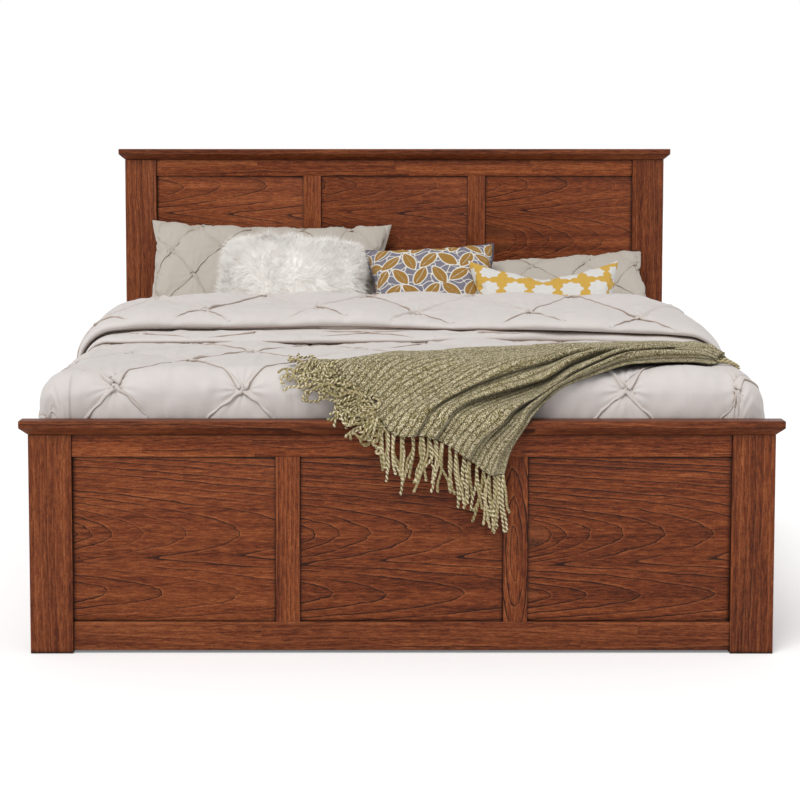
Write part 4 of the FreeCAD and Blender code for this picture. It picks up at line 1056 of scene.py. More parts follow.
def pillow_numbers(columns, rows):
    """Point numbers of a front grid and of a back grid that shares the front's border."""
    front = np.arange(rows * columns).reshape(rows, columns)
    back = front.copy()
    back[1:-1, 1:-1] = rows * columns + np.arange((rows - 2) * (columns - 2)).reshape(rows - 2, columns - 2)
    return front, back


def pillow_faces(front, back):
    """Faces of both sides of a pillow, all looking outwards."""
    return [quads_of(front), quads_of(back)[:, ::-1]]


def blow_up(piece, pressure=4.0, frames=18):
    """Cloth simulation with pressure and without gravity; returns the points of its last frame."""
    cloth = piece.modifiers.new("filling", "CLOTH")
    cloth.settings.quality = 5
    cloth.settings.mass = 0.25
    cloth.settings.tension_stiffness = 12
    cloth.settings.compression_stiffness = 12
    cloth.settings.bending_stiffness = 0.4
    cloth.settings.use_pressure = True
    cloth.settings.uniform_pressure_force = pressure
    cloth.settings.effector_weights.gravity = 0
    cloth.point_cache.frame_start, cloth.point_cache.frame_end = 1, frames
    for step in range(1, frames + 1):
        scene.frame_set(step)
    settled = piece.evaluated_get(bpy.context.evaluated_depsgraph_get())
    points = np.empty(len(settled.data.vertices) * 3, np.float32)
    settled.data.vertices.foreach_get("co", points)
    piece.modifiers.remove(cloth)
    scene.frame_set(1)
    return points.reshape(-1, 3).astype(float)


def refine(grid):
    """Grid with a new point between all neighbours: nine sixteenths of the two beside it, less one sixteenth
    of the two beyond, first along rows, then along columns."""
    for _ in range(2):
        ends = np.concatenate([2 * grid[:1] - grid[1:2], grid, 2 * grid[-1:] - grid[-2:-1]])
        between = (9 * (ends[1:-2] + ends[2:-1]) - ends[:-3] - ends[3:]) / 16
        finer = np.empty((2 * len(grid) - 1, *grid.shape[1:]))
        finer[::2], finer[1::2] = grid, between
        grid = finer.swapaxes(0, 1)
    return grid


def pillow_points(width, height, thickness, columns, rows, seed, straight, rounded=0.0):
    """Filled pillow lying flat: x across, y up, z out. It starts as a thin lens, 0.12 of half the thickness
    times a power of one minus each share's power; the cloth is simulated on every second point and then
    refined.
    Filling draws the edges in; straight is the share of that taken back, and rounded turns square corners
    into round ones, by making each half width smaller where the other coordinate is large. The last value
    is the UV map: the back's lies one metre above the front's."""
    few, fewer = (columns + 1) // 2, (rows + 1) // 2
    front, back = pillow_numbers(few, fewer)
    x, y = np.meshgrid(np.linspace(-0.5, 0.5, few) * width, np.linspace(0, 1, fewer) * height)
    inner = (1 - (2 * x / width) ** 2) * (1 - (2 * y / height - 1) ** 2)
    lens = np.clip((1 - np.abs(2 * x / width) ** 2.6) * (1 - np.abs(2 * y / height - 1) ** 2.6), 0, 1) ** 0.55
    fullness = 0.12
    z = fullness * 0.5 * thickness * lens + 0.002 * waves(x, y, 0.12, 9, seed) * inner
    points = np.zeros((back.max() + 1, 3))
    points[back] = np.stack([x, y, -z], -1)
    points[front] = np.stack([x, y, z * (lens > 0)], -1)
    flat = build_mesh("filling", points, pillow_faces(front, back), duvet_cotton)
    points = blow_up(flat)
    bpy.data.objects.remove(flat)
    sides = []
    for grid in (refine(points[front]), refine(points[back])):
        for axis, size, start in ((0, width, -width / 2), (1, height, 0.0)):
            value = grid[..., axis] if axis == 0 else grid[..., axis].T
            near, far = value[:, :1], value[:, -1:]
            share = (value - near) / (far - near)
            near, far = near + straight * (start - near), far + straight * (start + size - far)
            value = near + share * (far - near)
            grid[..., axis] = value if axis == 0 else value.T
        u, v = 2 * grid[..., 0] / width, 2 * grid[..., 1] / height - 1
        grid[..., 0] *= np.sqrt(np.clip(1 - rounded * v ** 4 * u ** 2, 0.1, 1))
        grid[..., 1] = height / 2 * (1 + v * np.sqrt(np.clip(1 - rounded * u ** 4 * v ** 2, 0.1, 1)))
        sides.append(grid)
    front, back = pillow_numbers(2 * few - 1, 2 * fewer - 1)
    x, y = np.meshgrid(np.linspace(-0.5, 0.5, 2 * few - 1) * width, np.linspace(0, 1, 2 * fewer - 1) * height)
    points = np.zeros((back.max() + 1, 3))
    points[back], points[front] = sides[1], sides[0]
    points[:, 0] *= width / np.ptp(points[:, 0])
    points[:, 1] = (points[:, 1] - points[:, 1].min()) * height / np.ptp(points[:, 1])
    points[:, 2] *= thickness / np.ptp(points[:, 2])
    points[:, 2] -= (points[:, 2].max() + points[:, 2].min()) / 2
    uv = np.zeros((len(points), 2))
    uv[back], uv[front] = np.stack([x, y + 1], -1), np.stack([x, y], -1)
    return points, front, back, x, y, uv


# %% Places of the pillows


def lean(points, angle):
    """Points of a flat pillow turned up about X by the lean, in degrees."""
    c, s = math.cos(math.radians(angle)), math.sin(math.radians(angle))
    return np.stack([points[..., 0], points[..., 1] * c - points[..., 2] * s,
                     points[..., 1] * s + points[..., 2] * c], -1)


def set_into_box(points, node_name, aside=0.0, lift=0.0):
    """Moves leaned points so that their box has the middle of the CAD pillow's box, and the same lowest
    point; aside and lift are then added, in metres."""
    low, high = (np.array(corner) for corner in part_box(node_name))
    shift = (low + high) / 2 - (points.min(0) + points.max(0)) / 2
    shift[0] += aside
    shift[2] = low[2] - points[:, 2].min() + lift
    return points + shift


def roll(points, angle):
    """Points of a flat pillow turned in its own plane, in degrees, round the middle of its lower edge."""
    c, s = math.cos(math.radians(angle)), math.sin(math.radians(angle))
    return np.stack([points[..., 0] * c - points[..., 1] * s, points[..., 0] * s + points[..., 1] * c,
                     points[..., 2]], -1)


pillow_sizes = {"sham_left": (0.915, 0.51, 0.150, 50), "sham_right": (0.915, 0.455, 0.124, 34),
                "fur_pillow": (0.56, 0.44, 0.130, 53), "scroll_pillow": (0.475, 0.402, 0.110, 47),
                "lattice_pillow": (0.548, 0.352, 0.110, 46)}
for name, (width, height, thickness, angle) in pillow_sizes.items():
    print(name, width, "by", height, "by", thickness, "m, leaning at", angle, "degrees")

# %% Pinched shams
sham_cotton = cotton_finish("sham_cotton", from_screen(196, 188, 177))
sham_half_x, sham_half_y, sham_start_x, sham_start_y, sham_lift = 0.09, 0.105, -0.34, 0.11, -0.018


def pinched_sham(side, seed, aside, turned, sag):
    """One sham: a filled pillow with both sides pinched on a small lattice. Its left is lower by a share, sag,
    it is turned in its own plane by some degrees, set into its CAD box and moved aside by some metres."""
    width, height, thickness, angle = pillow_sizes[f"sham_{side}"]
    points, front, back, x, y, uv = pillow_points(width, height, thickness, 201, 121, seed, 0.42)
    points[:, 1] *= 1 - sag * (0.5 - points[:, 0] / width)
    inside = smooth_step(0, 0.035, np.minimum(width / 2 - np.abs(x), np.minimum(y, height - y)))
    pinch = pleat_height((x - sham_start_x) / sham_half_x, (y - sham_start_y) / sham_half_y,
                         sham_half_x, sham_half_y, seed)
    tucks = (0.7 * pinch - 0.006 + 0.0015 * waves(x, y, 0.07, 9, seed)) * inside
    for grid, sign in ((front, 1), (back, -1)):
        points[grid] = points[grid] + sign * normals_of(points[grid]) * tucks[..., None]
    standing = set_into_box(lean(roll(points, turned), angle), f"sham_{side}", aside, sham_lift)
    face, face_normal = standing[front], normals_of(standing[front])

    def sham_surface(i, j):
        """Place, normal and cloth coordinates of the sham's front at lattice coordinates."""
        i, j = on_lattice(i, j, seed)
        across_at, up_at = i * sham_half_x + sham_start_x, j * sham_half_y + sham_start_y
        column = (across_at / width + 0.5) * (front.shape[1] - 1)
        row = up_at / height * (front.shape[0] - 1)
        return (*touch(face, face_normal, column, row), np.stack([across_at, up_at], -1))

    def on_sham(i, j):
        """True on the sham's front, inside its seams."""
        across_at, up_at = i * sham_half_x + sham_start_x, j * sham_half_y + sham_start_y
        return (np.abs(across_at) < width / 2 - 0.030) & (np.abs(up_at - height / 2) < height / 2 - 0.034)

    extra_points, extra_faces, extra_uv, extra_shade = pinched_details(
        sham_surface, range(-2, 11), range(-2, 6), on_sham, 0.0070, 0.0058, 0.0062, seed)
    faces = pillow_faces(front, back) + [f + len(standing) for f in extra_faces]
    sham = build_mesh(f"sham_{side}_pleated", np.concatenate([standing, extra_points]), faces, sham_cotton,
                      uv=np.concatenate([uv, extra_uv]),
                      tuck=np.concatenate([np.zeros(len(standing)), extra_shade]))
    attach(sham, "bed")
    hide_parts(f"sham_{side}")
    print(sham.name, "box", np.round(standing.min(0), 3), np.round(standing.max(0), 3))


pinched_sham("left", 31, -0.013, -1.5, 0.0)
pinched_sham("right", 41, 0.042, 3.5, 0.09)

# %% [markdown]
# The white pillow is covered with long fur. Each hair is a flat blade of seven points, three at the root,
# three half-way and a tip, combed by slow waves away from the pillow's middle. All hairs of a side are one
# mesh, so the fur is real geometry. The blades are shaded flat, because smooth shading turned the white fur
# grey.

# %% Fur pillow


def fur_finish(name, colour):
    """Soft white fibre whose tone drifts from tuft to tuft with noise."""
    material, tree = new_finish(name)
    place = node(tree, "ShaderNodeTexCoord", out=3)
    tuft = noise(tree, place, 34.0, 4.0, 0.7)
    darker = shaded(colour, 0.90, 0.88, 0.85)
    mixed = mix_colour(tree, ramp(tree, tuft, (0.35, 0.0), (0.65, 1.0)), darker, colour)
    rough = math_node(tree, "MULTIPLY_ADD", tuft, 0.2, 0.7)
    surface(tree, mixed, rough, Specular_IOR_Level=0.05)
    return material


def hairs(roots, normal, facing, length, drop, radius, seed):
    """Points and faces of hairs: flat three-cornered blades. A hair rises evenly off the hide, by 0.42 of its
    length, and lies over along the hide by a power of its share: away from the middle, with a combing wave
    and a little down. facing is the side that a blade turns up."""
    luck = np.random.default_rng(seed)
    count = len(roots)
    comb = np.stack([waves(roots[:, 0], roots[:, 2], 0.14, 7, seed),
                     waves(roots[:, 2], roots[:, 0], 0.2, 7, seed + 1),
                     waves(roots[:, 0], roots[:, 2], 0.11, 7, seed + 2)], -1)
    away = roots - roots.mean(0) + [0, 0, 0.03]
    away /= np.linalg.norm(away, axis=1, keepdims=True) + 0.10
    comb = comb * 0.34 + luck.normal(0, 0.22, (count, 3)) + 0.7 * away - [0, 0, drop]
    comb = comb - normal * (comb * normal).sum(1, keepdims=True)
    comb = unit(comb) + luck.normal(0, 0.10, (count, 3))
    share = np.array([0, 0.5, 1.0])[None, :, None]
    bent = share * normal[:, None] * 0.42 + share ** 1.4 * comb[:, None]
    path = roots[:, None] + length[:, None, None] * bent
    side = unit(np.cross(path[:, 1] - path[:, 0], facing))
    ring = side[:, None] * np.array([-1, 1, 0])[:, None] + facing[:, None] * np.array([0, 0, 0.4])[:, None]
    body = path[:, :2, None] + ring[:, None] * radius * np.array([1, 0.75])[None, :, None, None]
    points = np.concatenate([body.reshape(count, 6, 3), path[:, 2:]], 1)
    rows = np.array([[3, 4, 1, 0], [4, 5, 2, 1], [5, 3, 0, 2]])
    tips = np.array([[6, 4, 3], [6, 5, 4], [6, 3, 5]])
    start = (np.arange(count) * 7)[:, None, None]
    return points.reshape(-1, 3), [(start + rows).reshape(-1, 4), (start + tips).reshape(-1, 3)]


width, height, thickness, angle = pillow_sizes["fur_pillow"]
hide_size = (width - 0.03, height - 0.04, thickness - 0.05)
points, front, back, x, y, uv = pillow_points(*hide_size, 91, 73, 51, 0.9, 0.22)
standing = set_into_box(lean(roll(points, -3.0), angle), "fur_pillow", lift=-0.004)
white_fur = fur_finish("white_fur", from_screen(252, 250, 247))
hide = build_mesh("fur_pillow_hide", standing, pillow_faces(front, back), white_fur, uv=uv)
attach(hide, "bed")
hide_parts("fur_pillow")
for side, grid, sign, amount in (("front", front, 1, 21000), ("back", back, -1, 6000)):
    place = standing[grid]
    row = dice.uniform(0, grid.shape[0] - 1.001, amount)
    column = dice.uniform(0, grid.shape[1] - 1.001, amount)
    roots, outward = touch(place, sign * normals_of(place), column, row)
    facing = unit(0.5 * outward + [-0.05, -0.45 * sign, 0.55])
    length = dice.uniform(0.024, 0.044, amount)
    fur_points, fur_faces = hairs(roots, outward, facing, length, 0.15, 0.0007, 52)
    fur = build_mesh(f"fur_pillow_hair_{side}", fur_points, fur_faces, white_fur)
    fur.data.polygons.foreach_set("use_smooth", np.zeros(len(fur.data.polygons), bool))
    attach(fur, "bed")
    print(fur.name, amount, "hairs")

# %% [markdown]
# The printed pillow has gold leaves with pale outlines on a grey-violet ground, a plain leaf design. How
# far each point of the cloth lies from the nearest leaf and stem is worked out once and kept as a number on
# the mesh; the material turns those distances into crisp areas and lines, however close the camera comes.

# %% Leaf distances


def leaf_distance(x, y, cell, seed):
    """Signed distance to leaves scattered on a staggered grid, below zero inside, and distance to a leaf's
    middle rib: a leaf is the overlap of two circles, turned by a random angle in each cell."""
    best = np.full(x.shape, 9.0)
    rib = np.full(x.shape, 9.0)
    row = np.floor(y / cell)
    for dr in (-1, 0, 1):
        for dc in (-1, 0, 1):
            r = row + dr
            c = np.floor(x / cell - 0.5 * (r % 2)) + dc
            cx = (c + 0.5 + 0.5 * (r % 2)) * cell
            cy = (r + 0.5) * cell
            turn = np.pi * (0.25 + 0.5 * ((c + r) % 2)) + 0.7 * (lucky(c + seed, r) - 0.5)
            u = (x - cx) * np.cos(turn) + (y - cy) * np.sin(turn)
            v = -(x - cx) * np.sin(turn) + (y - cy) * np.cos(turn)
            long, wide = 0.66 * cell, 0.31 * cell
            bow = (long ** 2 - wide ** 2) / (2 * wide)
            leaf = np.maximum(np.hypot(u, v + bow), np.hypot(u, v - bow)) - math.hypot(long, bow)
            rib = np.where(leaf < best, np.abs(v) + 0.003 * (u < -0.7 * long), rib)
            best = np.minimum(best, leaf)
    return best, rib


def stem_distance(x, y, cell):
    """Distance to wavy stems: sine curves running both ways across the cloth."""
    first = np.abs(np.sin(np.pi * (y / cell + 0.22 * np.sin(2 * np.pi * x / (2 * cell)))))
    second = np.abs(np.sin(np.pi * (x / (1.5 * cell) + 0.2 * np.sin(2 * np.pi * y / (3 * cell)))))
    return np.minimum(first * cell / np.pi, second * 1.5 * cell / np.pi)


def print_finish():
    """Three printed colours from three distances: gold inside leaves, pale lines round leaves, along their
    ribs and along stems, grey-violet elsewhere; a canvas weave over all."""
    material, tree = new_finish("leaf_print")
    leaf, rib, stem = (node(tree, "ShaderNodeAttribute", attribute_name=number, out=2)
                       for number in ("leaf", "rib", "stem"))
    place = node(tree, "ShaderNodeTexCoord", out=2)
    cloud = noise(tree, place, 60.0, 4.0, 0.7)
    wobble = math_node(tree, "MULTIPLY_ADD", cloud, 0.0016, -0.0008)
    edge = math_node(tree, "ABSOLUTE", math_node(tree, "ADD", leaf, wobble))
    gold = mix_colour(tree, cloud, from_screen(142, 104, 40), from_screen(176, 134, 66))
    ground = mix_colour(tree, cloud, from_screen(112, 108, 122), from_screen(136, 132, 144))
    inside = math_node(tree, "LESS_THAN", math_node(tree, "ADD", leaf, wobble), 0.0)
    colour = mix_colour(tree, inside, ground, gold)
    outline = math_node(tree, "LESS_THAN", edge, 0.0021)
    vein = math_node(tree, "MULTIPLY", math_node(tree, "LESS_THAN", rib, 0.0011), inside)
    twig = math_node(tree, "MULTIPLY", math_node(tree, "LESS_THAN", stem, 0.0019),
                     math_node(tree, "SUBTRACT", 1.0, inside))
    lines = math_node(tree, "MAXIMUM", outline, math_node(tree, "MAXIMUM", vein, twig))
    colour = mix_colour(tree, lines, colour, from_screen(226, 222, 214))
    height = math_node(tree, "MULTIPLY", weave_height(tree, place, 260.0), 0.4)
    height = math_node(tree, "MULTIPLY_ADD", lines, 0.9, height)
    surface(tree, colour, math_node(tree, "MULTIPLY_ADD", cloud, 0.1, 0.75), height, 0.0006,
            Specular_IOR_Level=0.2, Sheen_Weight=0.1)
    return material


# %% Leaf pillow and its piping


def tube_round(path, radius, sides):
    """Tube round a closed path: a small circle carried along it, in the plane across the path."""
    ahead = unit(np.roll(path, -1, axis=0) - np.roll(path, 1, axis=0))
    side = unit(np.cross(ahead, path - path.mean(0)))
    other = np.cross(side, ahead)
    turn = np.linspace(0, 2 * np.pi, sides, endpoint=False)
    ring = np.cos(turn)[None, :, None] * side[:, None] + np.sin(turn)[None, :, None] * other[:, None]
    number = np.arange(len(path) * sides).reshape(len(path), sides)
    number = np.hstack([number, number[:, :1]])
    return path[:, None] + radius * ring, quads_of(np.vstack([number, number[:1]]))


def border_of(front):
    """Point numbers once round the edge of a pillow's front grid."""
    return np.concatenate([front[0, :-1], front[:-1, -1], front[-1, :0:-1], front[:0:-1, 0]])


width, height, thickness, angle = pillow_sizes["scroll_pillow"]
points, front, back, x, y, uv = pillow_points(width, height, thickness, 141, 131, 61, 0.35)
standing = set_into_box(lean(roll(points, 4.2), angle), "scroll_pillow", 0.004, -0.010)
leaf, rib, stem = np.zeros((3, len(points)))
for grid in (back, front):
    leaf[grid], rib[grid] = leaf_distance(x + 0.3, y, 0.064, 5)
    stem[grid] = stem_distance(x, y, 0.032)
leaf_pillow = build_mesh("leaf_pillow", standing, pillow_faces(front, back), print_finish(), uv=uv,
                         leaf=leaf, rib=rib, stem=stem)
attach(leaf_pillow, "bed")
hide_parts("scroll_pillow")
cord_points, cord_faces = tube_round(standing[border_of(front)], 0.0042, 8)
piping_cotton = cotton_finish("piping_cotton", from_screen(84, 78, 92))
piping = build_mesh("leaf_pillow_piping", cord_points, [cord_faces], piping_cotton,
                    uv=cord_points[..., :2].reshape(-1, 2))
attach(piping, "bed")
print("leaf pillow box", np.round(standing.min(0), 3), np.round(standing.max(0), 3))

# %% [markdown]
# The small lumbar pillow carries a common lattice print: rows of white eight-lobed stars on yellow. Its top
# edge was chopped in with a hand, so the middle of the edge is pressed down and its corners stand up.

# %% Lattice pillow


def star_distance(x, y, pitch):
    """Distance outside the nearest eight-lobed star on a square grid; the star's radius swells with the
    cosine of eight times the angle."""
    u = x - np.round(x / pitch) * pitch
    v = y - np.round(y / pitch) * pitch
    return np.hypot(u, v) - 0.385 * pitch * (1 + 0.11 * np.cos(8 * np.arctan2(v, u)))


def lattice_finish():
    """White inside a star, yellow outside, with a woven surface."""
    material, tree = new_finish("lattice_print")
    star = node(tree, "ShaderNodeAttribute", attribute_name="star", out=2)
    place = node(tree, "ShaderNodeTexCoord", out=2)
    cloud = noise(tree, place, 70.0, 4.0, 0.7)
    yellow = mix_colour(tree, cloud, from_screen(206, 160, 58), from_screen(226, 184, 88))
    white = mix_colour(tree, cloud, from_screen(220, 217, 212), from_screen(238, 236, 232))
    outside = ramp(tree, math_node(tree, "MULTIPLY_ADD", star, 300.0, 0.5), (0.4, 0.0), (0.6, 1.0))
    colour = mix_colour(tree, outside, white, yellow)
    surface(tree, colour, math_node(tree, "MULTIPLY_ADD", cloud, 0.1, 0.72), weave_height(tree, place, 300.0),
            0.0004, Specular_IOR_Level=0.2, Sheen_Weight=0.1)
    return material


width, height, thickness, angle = pillow_sizes["lattice_pillow"]
points, front, back, x, y, uv = pillow_points(width, height, thickness, 131, 91, 71, 0.3)
share = points[:, 0] / (width / 2)
chop = np.clip(1 - np.abs(share) ** 1.2, 0, 1) * (points[:, 1] / height) ** 2.0
points[:, 1] -= 0.078 * chop
points[:, 2] *= 1 - 0.55 * chop
standing = set_into_box(lean(points, angle), "lattice_pillow", -0.010, 0.005)
star = np.zeros(len(points))
for grid in (back, front):
    star[grid] = star_distance(x + 0.01, y - 0.015, 0.088)
lattice_pillow = build_mesh("star_lattice_pillow", standing, pillow_faces(front, back), lattice_finish(),
                            uv=uv, star=star)
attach(lattice_pillow, "bed")
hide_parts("lattice_pillow")
print("lattice pillow box", np.round(standing.min(0), 3), np.round(standing.max(0), 3))

# %% [markdown]
# The throw is a heavy rib knit. Its place is given on the cloth below it: across the bed, and along one
# path that runs over the duvet, over the foot board's cap and straight down its front. The two long edges
# and both ends are drawn by a few points each, the cloth between them is blended, and lengthwise folds and
# ribs are added on top.

# %% Throw path
cap_low, cap_high = (np.array(corner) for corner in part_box("footboard_cap"))
clear, hang_gap = 0.015, 0.0105
crest = duvet_top + duvet_crown
turn = np.radians([25, 45, 62, 76])
over_foot = np.stack([foot_edge - (foot_round + clear) * np.sin(turn),
                      crest - foot_round + (foot_round + clear) * np.cos(turn)], -1)
front_y, top_z = cap_low[1], cap_high[2]
path_points = np.vstack([[(0.30, crest + clear), (-0.30, crest + clear), (-0.86, crest + clear),
                          (foot_edge - 0.006, crest + clear)], over_foot,
                         [(-1.050, 0.694), (front_y - 0.008, top_z + 0.010),
                          (front_y - hang_gap, top_z - 0.006), (front_y - hang_gap, 0.60),
                          (front_y - hang_gap, 0.20)]])


def smooth_path(points, rounds=3):
    """Open curve near its points, with the corners cut."""
    for _ in range(rounds):
        cut = np.stack([0.75 * points[:-1] + 0.25 * points[1:], 0.25 * points[:-1] + 0.75 * points[1:]], 1)
        points = np.vstack([points[:1], cut.reshape(-1, 2), points[-1:]])
    return points


path = smooth_path(path_points)
path_run = np.concatenate([[0], np.cumsum(np.linalg.norm(np.diff(path, axis=0), axis=1))])
path_q = -0.86 - (path_run - np.interp(0.86, -path[:, 0], path_run))


def at_y(y):
    """Place along the path where it first reaches y."""
    return float(np.interp(-y, -path[:, 0], path_q))


def at_z(z):
    """Place along the path where it hangs at height z; the first points, which lie level, are left out."""
    return float(np.interp(-z, -path[4:, 1], path_q[4:]))


def lay(p, q):
    """Place and normal of the throw's underside: q falls along the path over duvet, cap and board front, and
    p past the mattress edge turns down over the duvet's shoulder."""
    y = np.interp(-q, -path_q, path[:, 0])
    z = np.interp(-q, -path_q, path[:, 1])
    dy = np.interp(-q - 0.004, -path_q, path[:, 0]) - np.interp(-q + 0.004, -path_q, path[:, 0])
    dz = np.interp(-q - 0.004, -path_q, path[:, 1]) - np.interp(-q + 0.004, -path_q, path[:, 1])
    size = np.hypot(dy, dz)
    normal_y, normal_z = -dz / size, dy / size
    radius = side_round + clear
    over = np.clip(p - side_edge, 0, None)
    bend = np.clip(over / radius, 0, math.pi / 2)
    out = radius * np.sin(bend)
    down = radius * (1 - np.cos(bend)) + np.clip(over - radius * math.pi / 2, 0, None)
    x = np.minimum(p, side_edge) + out
    crown = -duvet_crown * (x / duvet_half) ** 2 * smooth_step(-1.12, -0.95, q)
    place = np.stack([x, y, z + crown - down], -1)
    normal = np.stack([np.sin(bend), normal_y * np.cos(bend), normal_z * np.cos(bend)], -1)
    return place, normal


# %% Throw cloth


def through(points, share):
    """Smooth line through a few points at even shares, by a cubic that takes each slope from the points on
    both sides."""
    points = np.array(points, float)
    place = share * (len(points) - 1)
    k = np.clip(place.astype(int), 0, len(points) - 2)
    f = (place - k)[..., None]
    longer = np.vstack([2 * points[0] - points[1], points, 2 * points[-1] - points[-2]])
    a, b, c, d = (longer[k + n] for n in range(4))
    return 0.5 * (2 * b + (c - a) * f + (2 * a - 5 * b + 4 * c - d) * f ** 2
                  + (3 * b - a - 3 * c + d) * f ** 3)


fringe_line = [(-0.250, at_y(-0.975)), (-0.178, at_y(-1.016)), (-0.116, at_y(-1.030)), (-0.076, at_z(0.672)),
               (-0.022, at_z(0.616)), (0.060, at_z(0.612)), (0.120, at_z(0.590)), (0.180, at_z(0.549)),
               (0.238, at_z(0.509)), (0.277, at_z(0.508))]
upper_line = [(-0.250, at_y(-0.975)), (-0.140, -0.845), (-0.020, -0.735), (0.120, -0.640), (0.265, -0.565),
              (0.410, -0.490), (0.540, -0.415), (0.660, -0.365), (0.780, -0.340), (0.890, -0.335),
              (1.000, -0.340)]
lower_line = [(0.277, at_z(0.508)), (0.296, at_z(0.575)), (0.335, at_z(0.640)), (0.385, at_z(0.695)),
              (0.440, at_y(-1.028)), (0.515, at_y(-1.014)), (0.590, at_y(-0.990)), (0.670, at_y(-0.960)),
              (0.745, -0.925), (0.820, -0.890), (0.895, -0.850)]
end_line = [(1.000, -0.340), (0.990, -0.490), (0.955, -0.670), (0.895, -0.850)]
throw_width, throw_length = 0.90, 1.40
rib_total, rib_columns, rib_height, yarn_thickness = 42, 5, 0.0032, 0.004
across_share, along_share = np.meshgrid(np.linspace(0, 1, rib_columns * rib_total + 1),
                                        np.linspace(0, 1, 221))
gathered = np.interp(across_share, [0, 0.24, 0.46, 0.53, 0.60, 0.72, 1],
                     [0, 0.41, 0.73, 0.80, 0.855, 0.91, 1])
squeeze = smooth_step(0.0, 0.42, along_share)
laid_share = (1 - squeeze) * across_share + squeeze * gathered
folds, rolled = np.zeros_like(across_share), np.zeros_like(across_share)
# Each fold: its middle, its widths behind and before that, its height, and how far it rolls over.
throw_folds = ((0.50, 0.050, 0.020, 0.030, 0.030), (0.585, 0.050, 0.018, 0.034, 0.030),
               (0.74, 0.070, 0.030, 0.034, 0.034), (0.88, 0.050, 0.028, 0.026, 0.020),
               (0.20, 0.06, 0.06, 0.007, 0.0))
grow = (0.55 + 0.45 * smooth_step(0.0, 0.25, along_share)) * (1 - 0.45 * smooth_step(0.7, 1.0, along_share))
for middle_share, behind, before, tall, roll_over in throw_folds:
    off = across_share - middle_share - 0.010 * np.sin(7 * along_share + 9 * middle_share)
    ridge = grow * np.exp(-np.abs(off / np.where(off < 0, behind, before)) ** 1.8)
    folds, rolled = np.maximum(folds, tall * ridge), rolled + roll_over * ridge
laid_share = np.clip(laid_share + rolled * smooth_step(1.0, 0.9, across_share), 0, 1)
start, stop = through(fringe_line, laid_share), through(end_line, laid_share)
upper, lower = through(upper_line, along_share), through(lower_line, along_share)
a, b = along_share[..., None], laid_share[..., None]
corners = ((1 - a) * (1 - b) * np.array(fringe_line[0]) + (1 - a) * b * np.array(fringe_line[-1])
           + a * (1 - b) * np.array(end_line[0]) + a * b * np.array(end_line[-1]))
plan = (1 - a) * start + a * stop + (1 - b) * upper + b * lower - corners
rib_wave = np.abs(np.sin(np.pi * across_share * rib_total)) ** 0.8
place, normal = lay(plan[..., 0], plan[..., 1])
lift = 0.002 + folds + rib_height * rib_wave + 0.002 * waves(plan[..., 0], plan[..., 1], 0.16, 9, 81)
column = np.interp(plan[..., 0], across, np.arange(len(across)))
row = np.interp(plan[..., 1], along, np.arange(len(along)))
higher = np.max([np.roll(swell, (i, j), (0, 1)) for i in (-4, 0, 4) for j in (-5, 0, 5)], axis=0)
below = between(higher[..., None], column, row)[..., 0]
to_edge = np.minimum(np.minimum(1 - across_share, across_share) / 0.12, (1 - along_share) / 0.05)
sink = (1 - smooth_step(0, 1, to_edge)) * smooth_step(foot_edge - 0.05, foot_edge + 0.05, plan[..., 1])
lift = lift + sink * (np.minimum(below, 0.010) + 0.002 - clear)
cloth_points = place + normal * lift[..., None]
cloth_uv = np.stack([across_share * throw_width, along_share * throw_length], -1)
number = np.arange(across_share.size).reshape(across_share.shape)


# %% Knit finish


def heather(tree, luck):
    """Four tones of heathered yarn, from dark olive to cream, picked by a number from 0 to 1."""
    return ramp(tree, luck, (0.0, from_screen(62, 52, 24)), (0.28, from_screen(124, 110, 64)),
                (0.60, from_screen(171, 156, 107)), (0.92, from_screen(240, 229, 197)))


def knit_finish():
    """Heathered yarn in ribs: stitches are small ovals along each rib and each takes its tone by chance;
    painted light makes the rib crests paler, and painted shade darkens the valleys between ribs, the gaps
    between stitches and cloth that lies deep in a fold."""
    material, tree = new_finish("olive_rib_knit")
    maths = partial(math_node, tree)
    place = node(tree, "ShaderNodeTexCoord", out=2)
    stitches = scaled(tree, place, (620, 480, 1))
    bead, cell = (node(tree, "ShaderNodeTexVoronoi", [stitches, None, 1.0], out=n, voronoi_dimensions="2D")
                  for n in (0, 1))
    tone_luck, rough_luck, _ = split(tree, "Color", cell)
    streak = noise(tree, scaled(tree, place, (90, 14, 1)), 1.0, 3.0, 0.6)
    turn = maths("MULTIPLY", split(tree, "XYZ", place)[0], math.pi * rib_total / throw_width)
    rib = maths("ABSOLUTE", maths("SINE", turn))
    mixed = maths("MULTIPLY_ADD", streak, 0.25, maths("MULTIPLY_ADD", tone_luck, 1.20, -0.46))
    # Painted light: the rib's crest makes the tone paler.
    tone = heather(tree, maths("MULTIPLY_ADD", rib, 0.30, mixed))
    # Painted shade in the valleys between ribs.
    tone = mix_colour(tree, ramp(tree, rib, (0.05, 0.52), (0.60, 0.0)), tone, from_screen(92, 81, 46))
    # Painted shade in the gaps between stitches.
    tone = mix_colour(tree, ramp(tree, bead, (0.45, 0.0), (0.85, 0.60)), tone, from_screen(60, 50, 24))
    # Painted shade deep in folds.
    tone = mix_colour(tree, painted_shade_share(tree, 0.05, (0.30, 0.70), (0.80, 0.0)), tone, from_screen(52, 44, 22))
    surface(tree, tone, maths("MULTIPLY_ADD", rough_luck, 0.15, 0.78), maths("SUBTRACT", 1.0, bead), 0.0012,
            Specular_IOR_Level=0.15, Sheen_Weight=0.15, Sheen_Roughness=0.5)
    return material


throw = build_mesh("throw_knitted", cloth_points, [quads_of(number)], knit_finish(), uv=cloth_uv)
thick = throw.modifiers.new("yarn thickness", "SOLIDIFY")
thick.thickness = yarn_thickness
thick.offset = 1.0

